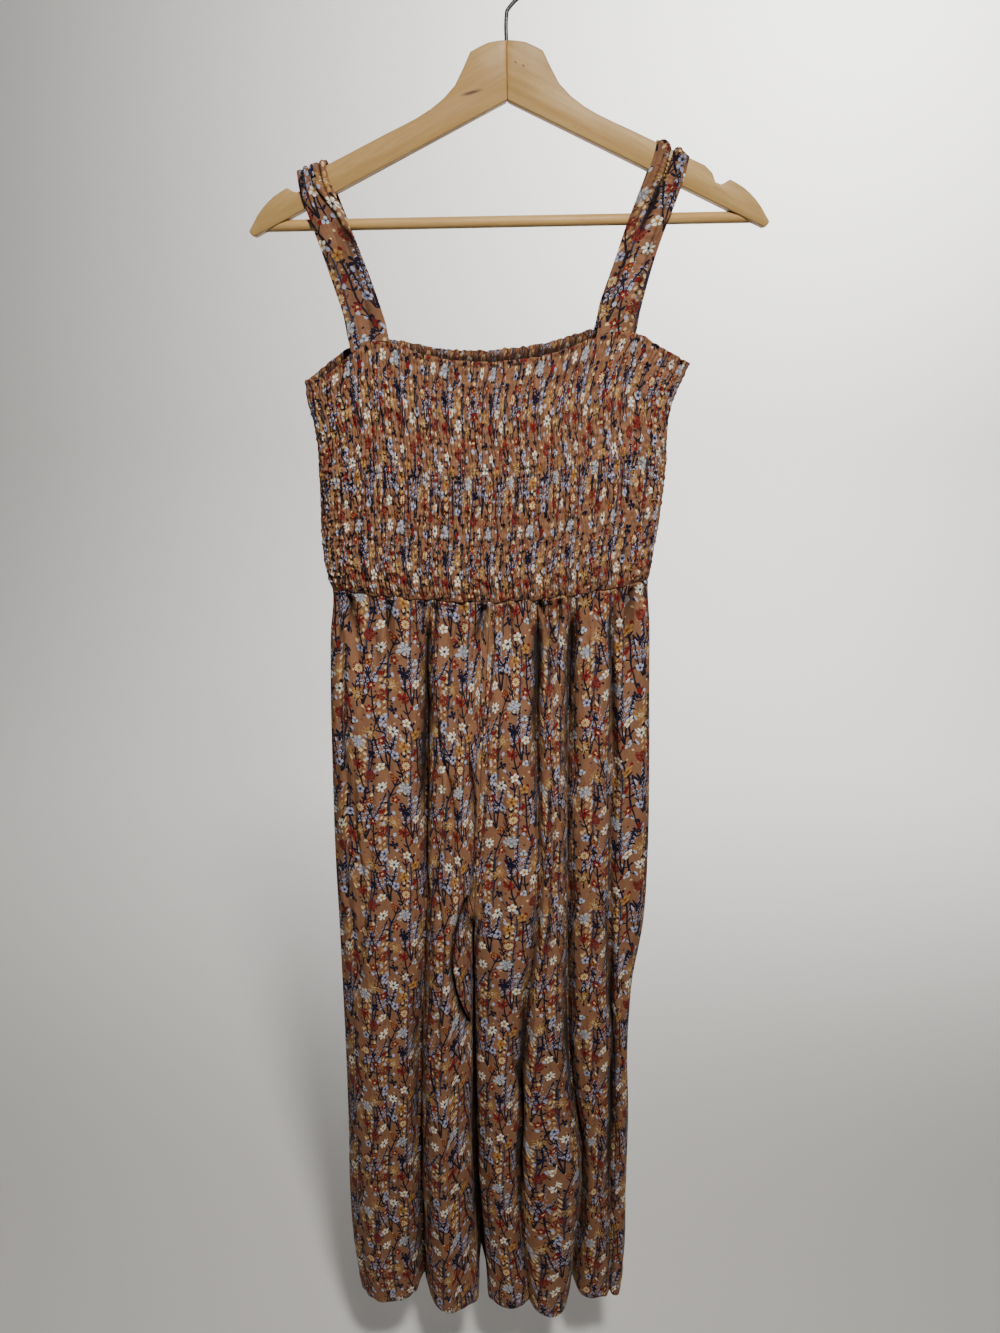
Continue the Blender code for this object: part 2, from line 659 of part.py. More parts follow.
def hole_cutter(name, near, far, cutters):
    """A cutter along X about the bar's line, between two distances from the middle."""
    mesh = turned_rod(name, BAR_RADIUS + SEAM_GAP, (far - near) / 2, SOCKET_SIDES)
    mesh.transform(Matrix.Translation(((near + far) / 2 * MM, 0.0, 0.0)))
    cutter = bpy.data.objects.new(name, mesh)
    cutter.matrix_world = hanger_turn()
    cutter.hide_render = True
    cutter.display_type = "WIRE"
    cutters.objects.link(cutter)
    return cutter


def stem_cutter(cutters):
    """The hole down the mitre that takes the hook's stem."""
    mesh = bpy.data.meshes.new("stem_hole")
    bm = bmesh.new()
    bmesh.ops.create_cone(
        bm, cap_ends=True, segments=12, radius1=(HOOK_WIRE + SEAM_GAP) * MM,
        radius2=(HOOK_WIRE + SEAM_GAP) * MM, depth=STEM_HOLE_DEPTH * MM,
    )
    middle = STEM_FOOT - SEAM_GAP + STEM_HOLE_DEPTH / 2
    bmesh.ops.translate(bm, vec=(0.0, 0.0, middle * MM), verts=bm.verts)
    bm.to_mesh(mesh)
    bm.free()
    cutter = bpy.data.objects.new("stem_hole", mesh)
    cutter.hide_render = True
    cutter.display_type = "WIRE"
    cutters.objects.link(cutter)
    return cutter


def build_hanger(parts, cutters):
    wood = finish_of("beech", BEECH)
    stem_hole = stem_cutter(cutters)
    for name, side in (("hanger_arm_left", -1), ("hanger_arm_right", 1)):
        near, far = sorted((side * SOCKET_START, side * SOCKET_DEPTH))
        socket = hole_cutter(name + "_socket", near, far, cutters)
        arm = hanger_arm(name, side, socket, parts, wood)
        cut = arm.modifiers.new("stem hole", "BOOLEAN")
        cut.operation = "DIFFERENCE"
        cut.object = stem_hole
    bar_mesh = turned_rod("hanger_bar", BAR_RADIUS, BAR_HALF_LENGTH, BAR_SIDES)
    bar = added("hanger_bar", bar_mesh, parts, finish_of("beech bar", BEECH_BAR))
    bar.matrix_world = hanger_turn()
    hook("hanger_hook", parts, finish_of("nickel wire", NICKEL))


def build_garment(parts):
    printed = finish_of("printed cloth", PRINTED_CLOTH)
    smocked_panel("bodice_front", -1, FRONT_TOP, parts, printed)
    smocked_panel("bodice_back", 1, BACK_TOP, parts, printed)
    legs = (
        ("leg_front_left", -1, -1, FRONT_LEFT_LINES, FRONT_LEFT_LOBES, FRONT_GATHERS),
        ("leg_front_right", 1, -1, FRONT_RIGHT_LINES, FRONT_RIGHT_LOBES, FRONT_GATHERS),
        ("leg_back_left", -1, 1, BACK_LEFT_LINES, BACK_LEFT_LOBES, BACK_GATHERS),
        ("leg_back_right", 1, 1, BACK_RIGHT_LINES, BACK_RIGHT_LOBES, BACK_GATHERS),
    )
    for name, leg, face, lines, lobes, gathers in legs:
        sheet = leg_sheet(leg, face, lines, lobes, gathers)
        leg_panel(name, leg, face, sheet, parts, printed)
    strap("strap_left", LEFT_STRAP, parts, printed)
    strap("strap_right", RIGHT_STRAP, parts, printed)


def main():
    clear_scene()
    parts = collection_named("jumpsuit on a hanger")
    cutters = collection_named("cutters")
    build_hanger(parts, cutters)
    build_garment(parts)


main()
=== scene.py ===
"""A smocked strappy jumpsuit on a wooden hanger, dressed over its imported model.

The file is laid out as a Blender add-on and is run as a script. Its own sizes are in
millimetres, in the frame of the model: +X to the right as one faces the garment, -Y
towards the viewer, +Z up, and the origin where a rail carries the hook.
"""
import math
from collections import namedtuple

import bmesh
import bpy
import numpy as np
from bpy.props import FloatProperty, FloatVectorProperty, IntProperty, PointerProperty
from mathutils import Matrix, Vector


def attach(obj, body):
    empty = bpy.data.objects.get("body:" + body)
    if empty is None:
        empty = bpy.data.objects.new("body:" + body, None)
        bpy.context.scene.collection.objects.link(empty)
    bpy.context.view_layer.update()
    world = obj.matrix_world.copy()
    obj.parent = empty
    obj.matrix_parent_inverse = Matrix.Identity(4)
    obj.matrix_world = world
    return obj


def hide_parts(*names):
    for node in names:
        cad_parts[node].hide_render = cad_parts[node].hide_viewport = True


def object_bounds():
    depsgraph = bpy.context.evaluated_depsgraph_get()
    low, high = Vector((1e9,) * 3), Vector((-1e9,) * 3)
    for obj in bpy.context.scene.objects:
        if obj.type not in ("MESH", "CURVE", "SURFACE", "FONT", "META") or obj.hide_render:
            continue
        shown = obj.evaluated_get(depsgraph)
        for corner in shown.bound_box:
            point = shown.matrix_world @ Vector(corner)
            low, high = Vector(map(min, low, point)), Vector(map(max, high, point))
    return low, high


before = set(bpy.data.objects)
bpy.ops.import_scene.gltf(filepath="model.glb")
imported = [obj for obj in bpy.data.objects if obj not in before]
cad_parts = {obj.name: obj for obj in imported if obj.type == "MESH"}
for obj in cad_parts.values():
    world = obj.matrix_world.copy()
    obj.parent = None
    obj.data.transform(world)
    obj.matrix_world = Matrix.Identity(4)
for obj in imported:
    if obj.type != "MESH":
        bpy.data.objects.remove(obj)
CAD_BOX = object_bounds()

bl_info = {
    "name": "Jumpsuit on a hanger",
    "version": (1, 0, 0),
    "blender": (4, 5, 0),
    "location": "View3D > Sidebar > Jumpsuit",
    "description": "Dresses the packed model of a smocked jumpsuit on its wooden hanger",
    "category": "Object",
}

MM = 0.001


def rows_of(kind, *rows):
    """A table's rows, each with its columns named."""
    return tuple(kind(*row) for row in rows)


# ---------------------------------------------------------------- the garment's sizes
SEAM_GAP = 0.3
CLOTH = 1.3
HEM = -1400.0

Side = namedtuple("Side", "z left right")
SIDES = rows_of(
    Side,
    (-320, -179.0, 166.0), (-345, -178.0, 157.0), (-369, -173.0, 149.0), (-425, -171.0, 146.5),
    (-473, -172.0, 143.0), (-510, -169.5, 138.0), (-527, -166.0, 136.5), (-575, -170.0, 140.0),
    (-630, -173.0, 142.5), (-724, -176.0, 147.0), (-820, -178.0, 150.0), (-900, -178.0, 149.0),
    (-980, -178.5, 139.5), (-1046, -179.0, 138.0), (-1161, -181.0, 143.5), (-1263, -184.0, 144.5),
    (-1350, -182.5, 146.5), (HEM, -178.0, 142.0),
)

Edge = namedtuple("Edge", "x z")
FRONT_TOP = rows_of(
    Edge,
    (-179, -333.5), (-160, -329.5), (-146, -319.0), (-133, -308.5), (-117, -301.0), (-100, -301.5),
    (-90, -305.0), (-55, -314.0), (-19, -317.0), (10, -315.0), (43, -309.0), (71, -299.0),
    (95, -292.5), (113, -293.5), (140, -307.0), (166, -320.0),
)
BACK_TOP = rows_of(
    Edge,
    (-179, -333.5), (-139, -305.0), (-121, -299.5), (-102, -299.0), (-57, -306.5), (-13, -307.5),
    (44, -299.5), (74, -290.5), (95, -288.0), (112, -291.5), (140, -307.0), (166, -320.0),
)
WAIST = rows_of(
    Edge,
    (-166, -524.0), (-99, -530.5), (-15, -534.0), (88, -524.0), (137, -515.0),
)

Depth = namedtuple("Depth", "z front back")
BAND_DEPTHS = rows_of(
    Depth,
    (-290, 19.5, 12.0), (-330, 21.0, 12.5),
    (-420, 24.0, 13.5), (-490, 23.0, 14.0),
    (-535, 21.0, 13.5),
)
BAND_LEVEL = -327.0
WAIST_LEVEL = -527.0
BAND_ROUNDNESS = 0.62
BAND_HALF_WIDTH = 160.0
BAND_DEPTH = 22.0
FINE_TURNS = 721

FOLD_HEIGHTS = (-530.0, -700.0, -860.0, -1070.0, -1230.0, HEM)
Fold = namedtuple("Fold", "waist hip rise knee shin hem")
Line = namedtuple("Line", "x y")
Lobe = namedtuple("Lobe", "y columns")

CENTRE_X = Fold(-14.5, -24.0, -32.0, -34.0, -34.0, -25.5)
CROTCH = -866.0
CROTCH_DROP = 34.0
INSEAM_SPREAD = Fold(0.0, 0.0, 0.0, 2.0, 3.6, 5.0)
INSEAM_OVERLAP = 2.0
INSEAM_BACK = 8.0
INSEAM_STEEP = 0.44
INSEAM_FORWARD = 1.8
INSEAM_OPEN = 70.0
FRONT_CENTRE_Y = Fold(-17.0, -19.0, -20.0, -20.0, -20.0, -20.0)
BACK_CENTRE_Y = Fold(12.0, 13.0, 13.5, 13.5, 13.5, 13.5)

FRONT_LEFT_LINES = (
    Line(Fold(-76, -79, -84, -95, -100, -98), Fold(-11, -5, -2, 0, 0, 0)),
)
FRONT_LEFT_LOBES = (
    Lobe(Fold(-21, -24, -26, -32, -36, -38), 17),
    Lobe(Fold(-21, -25, -27, -34, -44, -52), 11),
)
FRONT_RIGHT_LINES = (
    Line(Fold(30, 33, 34, 20, 16, 31), Fold(-14, -15, -16, -20, -27, -38)),
    Line(Fold(62, 64, 67, 74, 92, 84), Fold(-9, -4, -2, -1, -1, -4)),
    Line(Fold(103, 108, 112, 119, 124, 126), Fold(-10, -6, -8, -14, -22, -27)),
)
FRONT_RIGHT_LOBES = (
    Lobe(Fold(-21, -25, -27, -31, -38, -46), 8),
    Lobe(Fold(-21, -25, -27, -34, -46, -58), 9),
    Lobe(Fold(-20, -23, -24, -25, -28, -32), 8),
    Lobe(Fold(-14, -16, -17, -20, -23, -26), 6),
)
BACK_LEFT_LINES = (
    Line(Fold(-98, -104, -112, -118, -121, -118), Fold(9, 8, 9, 10, 10, 10)),
)
BACK_LEFT_LOBES = (
    Lobe(Fold(13, 16, 17, 18, 18, 19), 12),
    Lobe(Fold(13, 16, 18, 19, 20, 21), 11),
)
BACK_RIGHT_LINES = (
    Line(Fold(20, 24, 28, 30, 32, 36), Fold(10, 9, 9, 10, 10, 11)),
    Line(Fold(80, 84, 90, 94, 96, 94), Fold(9, 8, 9, 10, 10, 10)),
)
BACK_RIGHT_LOBES = (
    Lobe(Fold(13, 16, 17, 18, 19, 20), 9),
    Lobe(Fold(13, 16, 18, 19, 20, 21), 9),
    Lobe(Fold(12, 14, 15, 16, 17, 18), 7),
)
LEG_ROWS = 190
LEG_FINER = 4
LEG_ROW_CROWDING = 0.45
LOBE_FULLNESS = 0.62
LOBE_CROWDING = 0.55
GATHER_EASE = 45.0
GATHER_ROOM = 14.0
GATHER_HELD = 0.7
INSEAM_REACH = 0.55
CROTCH_FALL = 0.40
CROTCH_FALL_SPAN = 62.0
CROTCH_FALL_START = 0.35
CROTCH_FALL_BLEND = 0.3

Gather = namedtuple("Gather", "x depth length width")
FRONT_GATHERS = rows_of(
    Gather,
    (-143, 4.0, 170, 6), (-125, 5.5, 250, 6), (-106, 2.5, 70, 6), (-92, 3.0, 95, 5),
    (-60, 3.0, 80, 5), (-43, 4.5, 190, 5), (-28, 2.5, 60, 5), (-3, 5.0, 210, 5), (14, 2.5, 75, 5),
    (46, 3.0, 110, 5), (78, 3.0, 90, 5), (90, 2.5, 60, 5), (119, 3.0, 120, 5),
)
BACK_GATHERS = rows_of(
    Gather,
    (-146, 2.0, 130, 6), (-126, 2.5, 180, 6), (-78, 2.5, 90, 6), (-62, 2.0, 150, 6),
    (-40, 2.5, 110, 6), (-2, 2.0, 90, 6), (40, 2.5, 160, 6), (58, 2.0, 80, 6), (104, 2.5, 140, 6),
    (120, 2.0, 90, 6),
)

# Creases down the legs, from top to foot: depth is how far the cloth sinks, and drift is
# how far the crease's foot lies to the right of its top.
Crease = namedtuple("Crease", "x drift top foot depth width")
FRONT_CREASES = rows_of(
    Crease,
    (-160, -6, -560, -980, 1.8, 5.0), (-150, -2, -700, -1010, 3.2, 5.5),
    (-136, 1, -640, -900, 2.6, 5.0), (-121, -14, -830, -1180, 2.4, 6.5),
    (-140, 10, -1040, -1390, 2.6, 7.0), (-112, -8, -560, -800, 1.8, 5.0),
    (-100, -4, -900, -1130, 1.6, 5.0), (-66, -6, -690, -1120, 3.6, 4.5),
    (-50, -2, -560, -840, 2.6, 4.5), (-57, -16, -1010, -1260, 2.0, 6.0),
    (-68, 14, -1150, -1395, 3.0, 5.5), (-20, 4, -540, -760, 1.6, 4.5),
    (-8, 6, -620, -1110, 3.4, 5.0), (6, 10, -900, -1250, 1.8, 6.0), (17, -6, -560, -790, 2.0, 4.5),
    (44, 6, -560, -920, 2.2, 5.0), (40, 12, -880, -1230, 2.8, 5.5),
    (54, -14, -1060, -1390, 2.4, 6.0), (86, 2, -560, -860, 2.4, 5.0),
    (92, -8, -780, -1140, 2.0, 5.5), (98, 10, -1000, -1330, 2.2, 6.0),
    (126, 2, -560, -830, 2.0, 4.5), (133, -6, -790, -1130, 2.2, 5.0),
    (128, 6, -1090, -1390, 1.8, 5.0), (-128, -3, -530, -650, 4.5, 2.8),
    (-43, -4, -530, -700, 4.5, 2.6), (-3, 2, -530, -640, 5.0, 2.6), (82, 3, -530, -690, 4.0, 2.6),
    (-66, 22, -640, -870, 4.0, 2.8), (48, -4, -700, -980, 3.6, 3.0),
    (10, 14, -1010, -1290, 3.6, 3.0), (66, -12, -1120, -1390, 3.8, 3.0),
    (-82, 8, -980, -1200, 3.2, 3.0), (-120, 5, -1190, -1395, 3.4, 3.2),
)
BACK_CREASES = rows_of(
    Crease,
    (-154, 4, -560, -930, 2.2, 6.0), (-138, -8, -760, -1200, 2.6, 7.0),
    (-122, 6, -560, -760, 1.8, 5.5), (-88, -6, -600, -1010, 2.4, 6.0),
    (-74, 10, -900, -1330, 2.0, 7.0), (-52, 4, -560, -880, 2.2, 5.5),
    (-62, -6, -1060, -1390, 1.8, 6.0), (-6, -8, -620, -1000, 2.4, 6.0),
    (12, 6, -840, -1290, 2.2, 7.0), (48, -4, -560, -930, 2.4, 6.0), (62, 10, -800, -1180, 2.0, 6.0),
    (56, -8, -1090, -1390, 1.8, 6.0), (104, 4, -600, -1010, 2.2, 6.0),
    (118, -6, -880, -1320, 2.0, 6.0), (128, 2, -560, -780, 1.6, 5.0),
)
CREASE_START = 60.0
CREASE_END = 120.0
CREASE_WANDER = 3.4
CREASE_WAVE = 175.0
CREASE_STEEP = 0.45
CREASE_SINK = 1.35
CREASE_NARROW = 0.8
CREASE_WIDENING = 0.5
SEAM_PULL = 4.0
SEAM_SINK = 0.4

Station = namedtuple("Station", "x y z width lean crease")
LEFT_STRAP = rows_of(
    Station,
    (-117.5, -16.4, -301.0, 35.0, 0.0, 0.0),
    (-122.0, -14.8, -284.0, 34.5, 0.0, 0.6),
    (-128.5, -12.2, -264.0, 34.5, 0.0, 1.0),
    (-136.0, -9.8, -242.0, 34.0, 0.0, 1.4),
    (-144.5, -8.6, -219.0, 32.0, 2.0, 2.2),
    (-153.0, -8.3, -197.0, 29.5, 8.0, 1.8),
    (-160.5, -8.2, -177.0, 27.0, 14.0, 1.6),
    (-162.5, -8.0, -166.0, 26.0, 16.0, 1.5),
    (-163.0, -7.4, -161.4, 26.0, 16.0, 1.4),
    (-163.2, -4.3, -160.3, 26.0, 16.0, 1.4),
    (-163.2, 0.0, -160.0, 26.0, 16.0, 1.4),
    (-163.2, 4.3, -160.3, 26.0, 16.0, 1.4),
    (-163.0, 7.4, -161.4, 26.0, 16.0, 1.4),
    (-162.5, 8.0, -166.0, 26.0, 16.0, 1.2),
    (-159.0, 8.3, -180.0, 28.0, 12.0, 1.0),
    (-149.0, 8.6, -210.0, 31.0, 4.0, 0.8),
    (-138.0, 9.2, -244.0, 33.5, 0.0, 0.6),
    (-128.0, 9.8, -276.0, 34.5, 0.0, 0.4),
    (-121.0, 10.0, -299.0, 35.0, 0.0, 0.0),
)
RIGHT_STRAP = rows_of(
    Station,
    (95.0, -16.9, -292.0, 34.5, 0.0, 0.0),
    (99.0, -15.0, -275.0, 34.5, 0.0, 0.6),
    (104.5, -12.2, -254.0, 34.0, 0.0, 1.0),
    (111.0, -9.8, -231.0, 33.5, -2.0, 1.4),
    (118.5, -8.6, -208.0, 33.0, -7.0, 2.0),
    (127.0, -8.3, -186.0, 32.0, -13.0, 2.6),
    (135.0, -8.2, -165.0, 30.5, -20.0, 3.0),
    (138.0, -8.0, -153.0, 30.0, -23.0, 3.4),
    (139.0, -7.4, -148.1, 30.0, -23.0, 3.6),
    (139.5, -4.3, -146.9, 30.0, -23.0, 3.6),
    (139.5, 0.0, -146.6, 30.0, -23.0, 3.6),
    (139.5, 4.3, -146.9, 30.0, -23.0, 3.6),
    (139.0, 7.4, -148.1, 30.0, -23.0, 3.0),
    (138.0, 8.0, -153.0, 30.0, -23.0, 2.0),
    (133.5, 8.3, -170.0, 31.0, -18.0, 1.4),
    (122.5, 8.6, -202.0, 33.0, -8.0, 0.8),
    (111.0, 9.2, -236.0, 34.0, 0.0, 0.6),
    (101.0, 9.8, -266.0, 34.5, 0.0, 0.4),
    (95.0, 10.0, -288.0, 35.0, 0.0, 0.0),
)
STRAP_CROWN_Y = 2.0
STRAP_TOP_Y = 7.5
STRAP_WIDTH = 34.0
STRAP_COLUMNS = 46
STRAP_ROWS_A_STATION = 14

# A tuck runs over a strap from station to station. Across is 0 at the left edge and 1
# at the right; the cloth to the right of its line stands higher by step.
Tuck = namedtuple("Tuck", "start end across_start across_end step groove width")
LEFT_TUCKS = rows_of(
    Tuck,
    (3.7, 6.2, 1.04, 0.44, 1.8, 3.4, 0.055),
    (6.2, 12.0, 0.44, 0.34, 1.2, 3.4, 0.050),
    (4.6, 12.0, 0.80, 0.70, 0.6, 2.8, 0.050),
    (5.4, 11.0, 0.20, 0.14, 0.3, 2.0, 0.045),
    (0.4, 4.4, 0.58, 0.80, 0.0, 1.2, 0.060),
    (1.0, 3.6, 0.30, 0.42, 0.0, 0.4, 0.080),
    (12.5, 17.5, 0.35, 0.62, 0.2, 0.7, 0.060),
)
RIGHT_TUCKS = rows_of(
    Tuck,
    (3.8, 12.5, 0.44, 0.54, 0.0, 2.9, 0.060),
    (1.2, 6.8, 0.20, 0.26, 0.2, 1.6, 0.045),
    (0.8, 6.2, 0.82, 0.74, -0.2, 1.6, 0.045),
    (6.4, 11.0, 0.76, 0.84, -0.3, 0.8, 0.050),
    (12.5, 17.5, 0.60, 0.40, 0.2, 0.7, 0.060),
)

# ---------------------------------------------------------------- the hanger's sizes
HANGER_TOP = -68.0
HANGER_TILT = math.radians(1.0)
BAR_RADIUS = 4.75
BAR_HALF_LENGTH = 207.0
BAR_HEIGHT = -202.5
HOOK_WIRE = 1.6
HOOK_INSIDE = 19.0
HOOK_FIRST_ANGLE = -58.0
HOOK_LAST_ANGLE = 205.0
HOOK_STEP = 5.0
HOOK_POINTS = 120
HOOK_STEM = rows_of(Edge, (0.0, -92.0), (0.0, -70.0), (0.0, -50.0), (0.5, -46.5), (2.8, -43.5))

# ---------------------------------------------------------------- the print's colours
Colour = namedtuple("Colour", "red green blue")
NAVY = Colour(0.006, 0.008, 0.026)
DUSK = Colour(0.011, 0.009, 0.020)
SLATE = Colour(0.038, 0.038, 0.062)
WINE = Colour(0.185, 0.010, 0.012)
DARK_WINE = Colour(0.022, 0.004, 0.005)
RUST = Colour(0.215, 0.022, 0.015)
GOLD = Colour(0.500, 0.270, 0.070)
AMBER = Colour(0.400, 0.170, 0.042)
CREAM = Colour(0.760, 0.580, 0.300)
IVORY = Colour(0.900, 0.860, 0.720)
LAVENDER = Colour(0.255, 0.245, 0.385)
SKY = Colour(0.440, 0.460, 0.610)
ICE = Colour(0.540, 0.600, 0.630)
# Painted shade: the colour laid over the cloth in its folds and creases, behind the legs' inner edges,
# on the straps and on the bands' wrong side below their top edge, and the most share of it that is laid
# on.
PAINTED_SHADE_COLOUR = Colour(0.016, 0.009, 0.006)
FOLD_DARKNESS = 0.93

# Kinds of flower: the radius, the petals and how deep the gaps between them are, how far
# the eye and the heart reach, how much of the head is broken into dots, and the colours
# from the outside in.
Bloom = namedtuple("Bloom", "radius petals gap eye heart dots petal inner middle")
BLOOMS = {
    "rosette": Bloom(6.2, 7, 0.16, 0.20, 0.55, 0.45, WINE, RUST, DARK_WINE),
    "blanket": Bloom(6.6, 11, 0.34, 0.24, 0.70, 0.00, WINE, CREAM, AMBER),
    "ragged": Bloom(6.8, 7, 0.26, 0.10, 0.50, 0.60, ICE, SKY, ICE),
    "daisy": Bloom(5.8, 7, 0.66, 0.30, 0.50, 0.00, IVORY, IVORY, NAVY),
    "white": Bloom(4.6, 5, 0.36, 0.26, 0.45, 0.00, IVORY, CREAM, AMBER),
    "rust star": Bloom(6.2, 6, 0.80, 0.20, 0.40, 0.00, RUST, WINE, DARK_WINE),
    "gold star": Bloom(5.2, 5, 0.62, 0.26, 0.50, 0.00, GOLD, AMBER, RUST),
    "umbel": Bloom(7.2, 9, 0.60, 0.10, 0.45, 0.95, GOLD, CREAM, AMBER),
    "navy star": Bloom(6.6, 5, 0.86, 0.16, 0.30, 0.00, NAVY, NAVY, DUSK),
    "navy leaf": Bloom(5.0, 4, 0.84, 0.10, 0.30, 0.00, NAVY, NAVY, NAVY),
    "lavender": Bloom(4.2, 5, 0.22, 0.30, 0.50, 0.00, SKY, LAVENDER, NAVY),
    "bell": Bloom(3.6, 3, 0.45, 0.25, 0.60, 0.00, ICE, SKY, DUSK),
    "heart": Bloom(3.6, 2, 0.55, 0.10, 0.40, 0.00, WINE, RUST, RUST),
    "red": Bloom(4.6, 5, 0.62, 0.30, 0.55, 0.00, WINE, RUST, CREAM),
    "tulip": Bloom(4.4, 3, 0.50, 0.25, 0.60, 0.00, RUST, AMBER, DARK_WINE),
}

# The heads' places in one repeat of the print, in the same order as its cells: each row
# of the chart runs from left to right, and the rows climb. The places are measured from
# the middle of the cell.
Head = namedtuple("Head", "kind right up")
HEADS = (
    (Head("blanket", 1, 2), Head("lavender", 0, -2), Head("rust star", 1, 1), Head("white", -1, 0)),
    (Head("gold star", -1, -2), Head("navy star", 0, 2), Head("ragged", 1, 0), Head("red", 0, 3)),
    (Head("white", 2, -1), Head("rosette", 1, 2), Head("bell", -2, -2), Head("lavender", 2, 1)),
    (Head("rust star", -1, 0), Head("daisy", 1, 3), Head("umbel", 0, 0), Head("rosette", 1, 2)),
    (Head("navy star", 0, 2), Head("umbel", 0, -2), Head("blanket", 1, 2), Head("heart", 0, 0)),
    (Head("ragged", 0, 2), Head("heart", -1, -1), Head("lavender", 2, -2), Head("daisy", 0, 2)),
)
MORE_HEADS = (
    (Head("tulip", 0, 0), Head("red", 1, 2), Head("navy leaf", 0, -2), Head("rosette", 0, 2)),
    (Head("lavender", 2, 0), Head("heart", -1, 3), Head("umbel", 1, 0), Head("navy leaf", 2, 1)),
    (Head("daisy", 0, 1), Head("gold star", 0, -2), Head("red", -1, 2), Head("umbel", 0, 0)),
    (Head("navy leaf", 0, -1), Head("bell", 1, 2), Head("rust star", 1, -1), Head("red", 0, 1)),
    (Head("umbel", 0, 0), Head("white", 1, 2), Head("lavender", -1, -2), Head("red", 2, 0)),
    (Head("red", 2, 1), Head("bell", 0, 0), Head("navy leaf", 0, 1), Head("tulip", 0, -1)),
)
HEAD_REACH = 16.0
HEAD_TURN = 0.37

# ---------------------------------------------------------------- the studio
CAMERA_PLACE = Vector((-0.0052, -0.9347, -0.289))
CAMERA_TILT = 18.675
FOCAL_PIXELS = 1001.0
PICTURE_HEIGHT = 1333.0
SENSOR = 36.0
NEAREST_SEEN = 0.01
ROOM_COLOUR = (0.92, 0.94, 1.0)


class ClothSettings(bpy.types.PropertyGroup):
    """The printed cloth of the jumpsuit."""

    thickness: FloatProperty(
        name="Thickness", description="How thick one layer of the cloth is",
        default=0.0006, min=0.0002, max=0.002, subtype="DISTANCE", unit="LENGTH",
    )
    ridges: IntProperty(
        name="Ridges", description="Ridges across each smocked panel", default=108, min=40, max=108,
    )
    shirring: IntProperty(
        name="Elastic rows", description="Rows of elastic thread down a smocked panel",
        default=34, min=20, max=34,
    )
    ridge_height: FloatProperty(
        name="Ridge height", description="How far the smocking puffs out between two rows",
        default=0.0036, min=0.0, max=0.004, subtype="DISTANCE", unit="LENGTH",
    )
    ground: FloatVectorProperty(
        name="Ground", description="The cloth's colour between the flowers",
        default=(0.292, 0.141, 0.075), min=0.0, max=1.0, subtype="COLOR",
    )
    repeat_width: FloatProperty(
        name="Repeat width", description="How wide the print is before it repeats",
        default=0.095, min=0.02, max=0.5, subtype="DISTANCE", unit="LENGTH",
    )
    repeat_length: FloatProperty(
        name="Repeat length", description="How long the print is before it repeats",
        default=0.147, min=0.02, max=0.5, subtype="DISTANCE", unit="LENGTH",
    )
    thread: FloatVectorProperty(
        name="Thread", description="The sewing thread's colour",
        default=(0.30, 0.13, 0.06), min=0.0, max=1.0, subtype="COLOR",
    )


class HangerSettings(bpy.types.PropertyGroup):
    """The wooden hanger and its hook."""

    wood: FloatVectorProperty(
        name="Arms", description="The arms' pale wood", default=(0.56, 0.365, 0.140),
        min=0.0, max=1.0, subtype="COLOR",
    )
    bar: FloatVectorProperty(
        name="Bar", description="The bar's warmer wood", default=(0.68, 0.440, 0.175),
        min=0.0, max=1.0, subtype="COLOR",
    )
    wire: FloatVectorProperty(
        name="Hook", description="The plated wire", default=(0.30, 0.30, 0.31),
        min=0.0, max=1.0, subtype="COLOR",
    )


class StageSettings(bpy.types.PropertyGroup):
    """The studio round the object."""

    paper: FloatVectorProperty(
        name="Backdrop", description="The pale floor and backdrop", default=(0.80, 0.79, 0.77),
        min=0.0, max=1.0, subtype="COLOR",
    )
    key_power: FloatProperty(
        name="Key light", description="Power of the soft light from the upper right",
        default=7.4, min=0.0, unit="POWER",
    )
    fill_power: FloatProperty(
        name="Fill light", description="Power of the wide light from the left",
        default=0.9, min=0.0, unit="POWER",
    )
    wall_power: FloatProperty(
        name="Wall light", description="Power of the light that falls on the backdrop alone",
        default=120.0, min=0.0, unit="POWER",
    )
    room_light: FloatProperty(
        name="Room light", description="Strength of the even light all round", default=0.024, min=0.0,
    )


# ---------------------------------------------------------------- curves and tables
def eased(value, places, values):
    """A smooth curve through a table's rows, read at one place or at many."""
    places = np.asarray(places, float)
    values = np.asarray(values, float)
    slopes = np.gradient(values, places)
    at = np.clip(value, places.min(), places.max())
    row = np.clip(np.searchsorted(places, at, side="right") - 1, 0, len(places) - 2)
    span = places[row + 1] - places[row]
    t = (at - places[row]) / span
    start = (2 * t**3 - 3 * t**2 + 1) * values[row] + (t**3 - 2 * t**2 + t) * span * slopes[row]
    end = (3 * t**2 - 2 * t**3) * values[row + 1] + (t**3 - t**2) * span * slopes[row + 1]
    return start + end


def column_of(table, place, name, value):
    """A table's named column, eased over the column that gives each row's place."""
    rows = sorted(table, key=lambda row: getattr(row, place))
    places = [getattr(row, place) for row in rows]
    return eased(value, places, [getattr(row, name) for row in rows])


def fold_at(fold, z):
    """A fold's value at a height."""
    return eased(z, FOLD_HEIGHTS[::-1], tuple(fold)[::-1])


def edge_height(table, x):
    return column_of(table, "x", "z", x)


Wave = namedtuple("Wave", "size length")
SEAM_SWAY = Wave(0.9, 6.1)
SEAM_RIPPLE = Wave(0.7, 2.7)


def swing(wave, along, start=0.0):
    """How high a wave stands along a line, from its start as an angle."""
    return wave.size * np.sin(along / wave.length + start)


def seam_sway(x):
    """How far the waist seam rises and falls between its gathers."""
    return swing(SEAM_SWAY, x) + swing(SEAM_RIPPLE, x, 1.0)


def ease(t):
    t = np.clip(t, 0.0, 1.0)
    return t * t * (3 - 2 * t)


def bump(distance, width):
    """A soft round bump, 1 at no distance."""
    return np.exp(-((distance / width) ** 2))


def running(steps):
    """How far along its line each point lies, from the steps between them."""
    return np.concatenate([[0.0], np.cumsum(steps)])


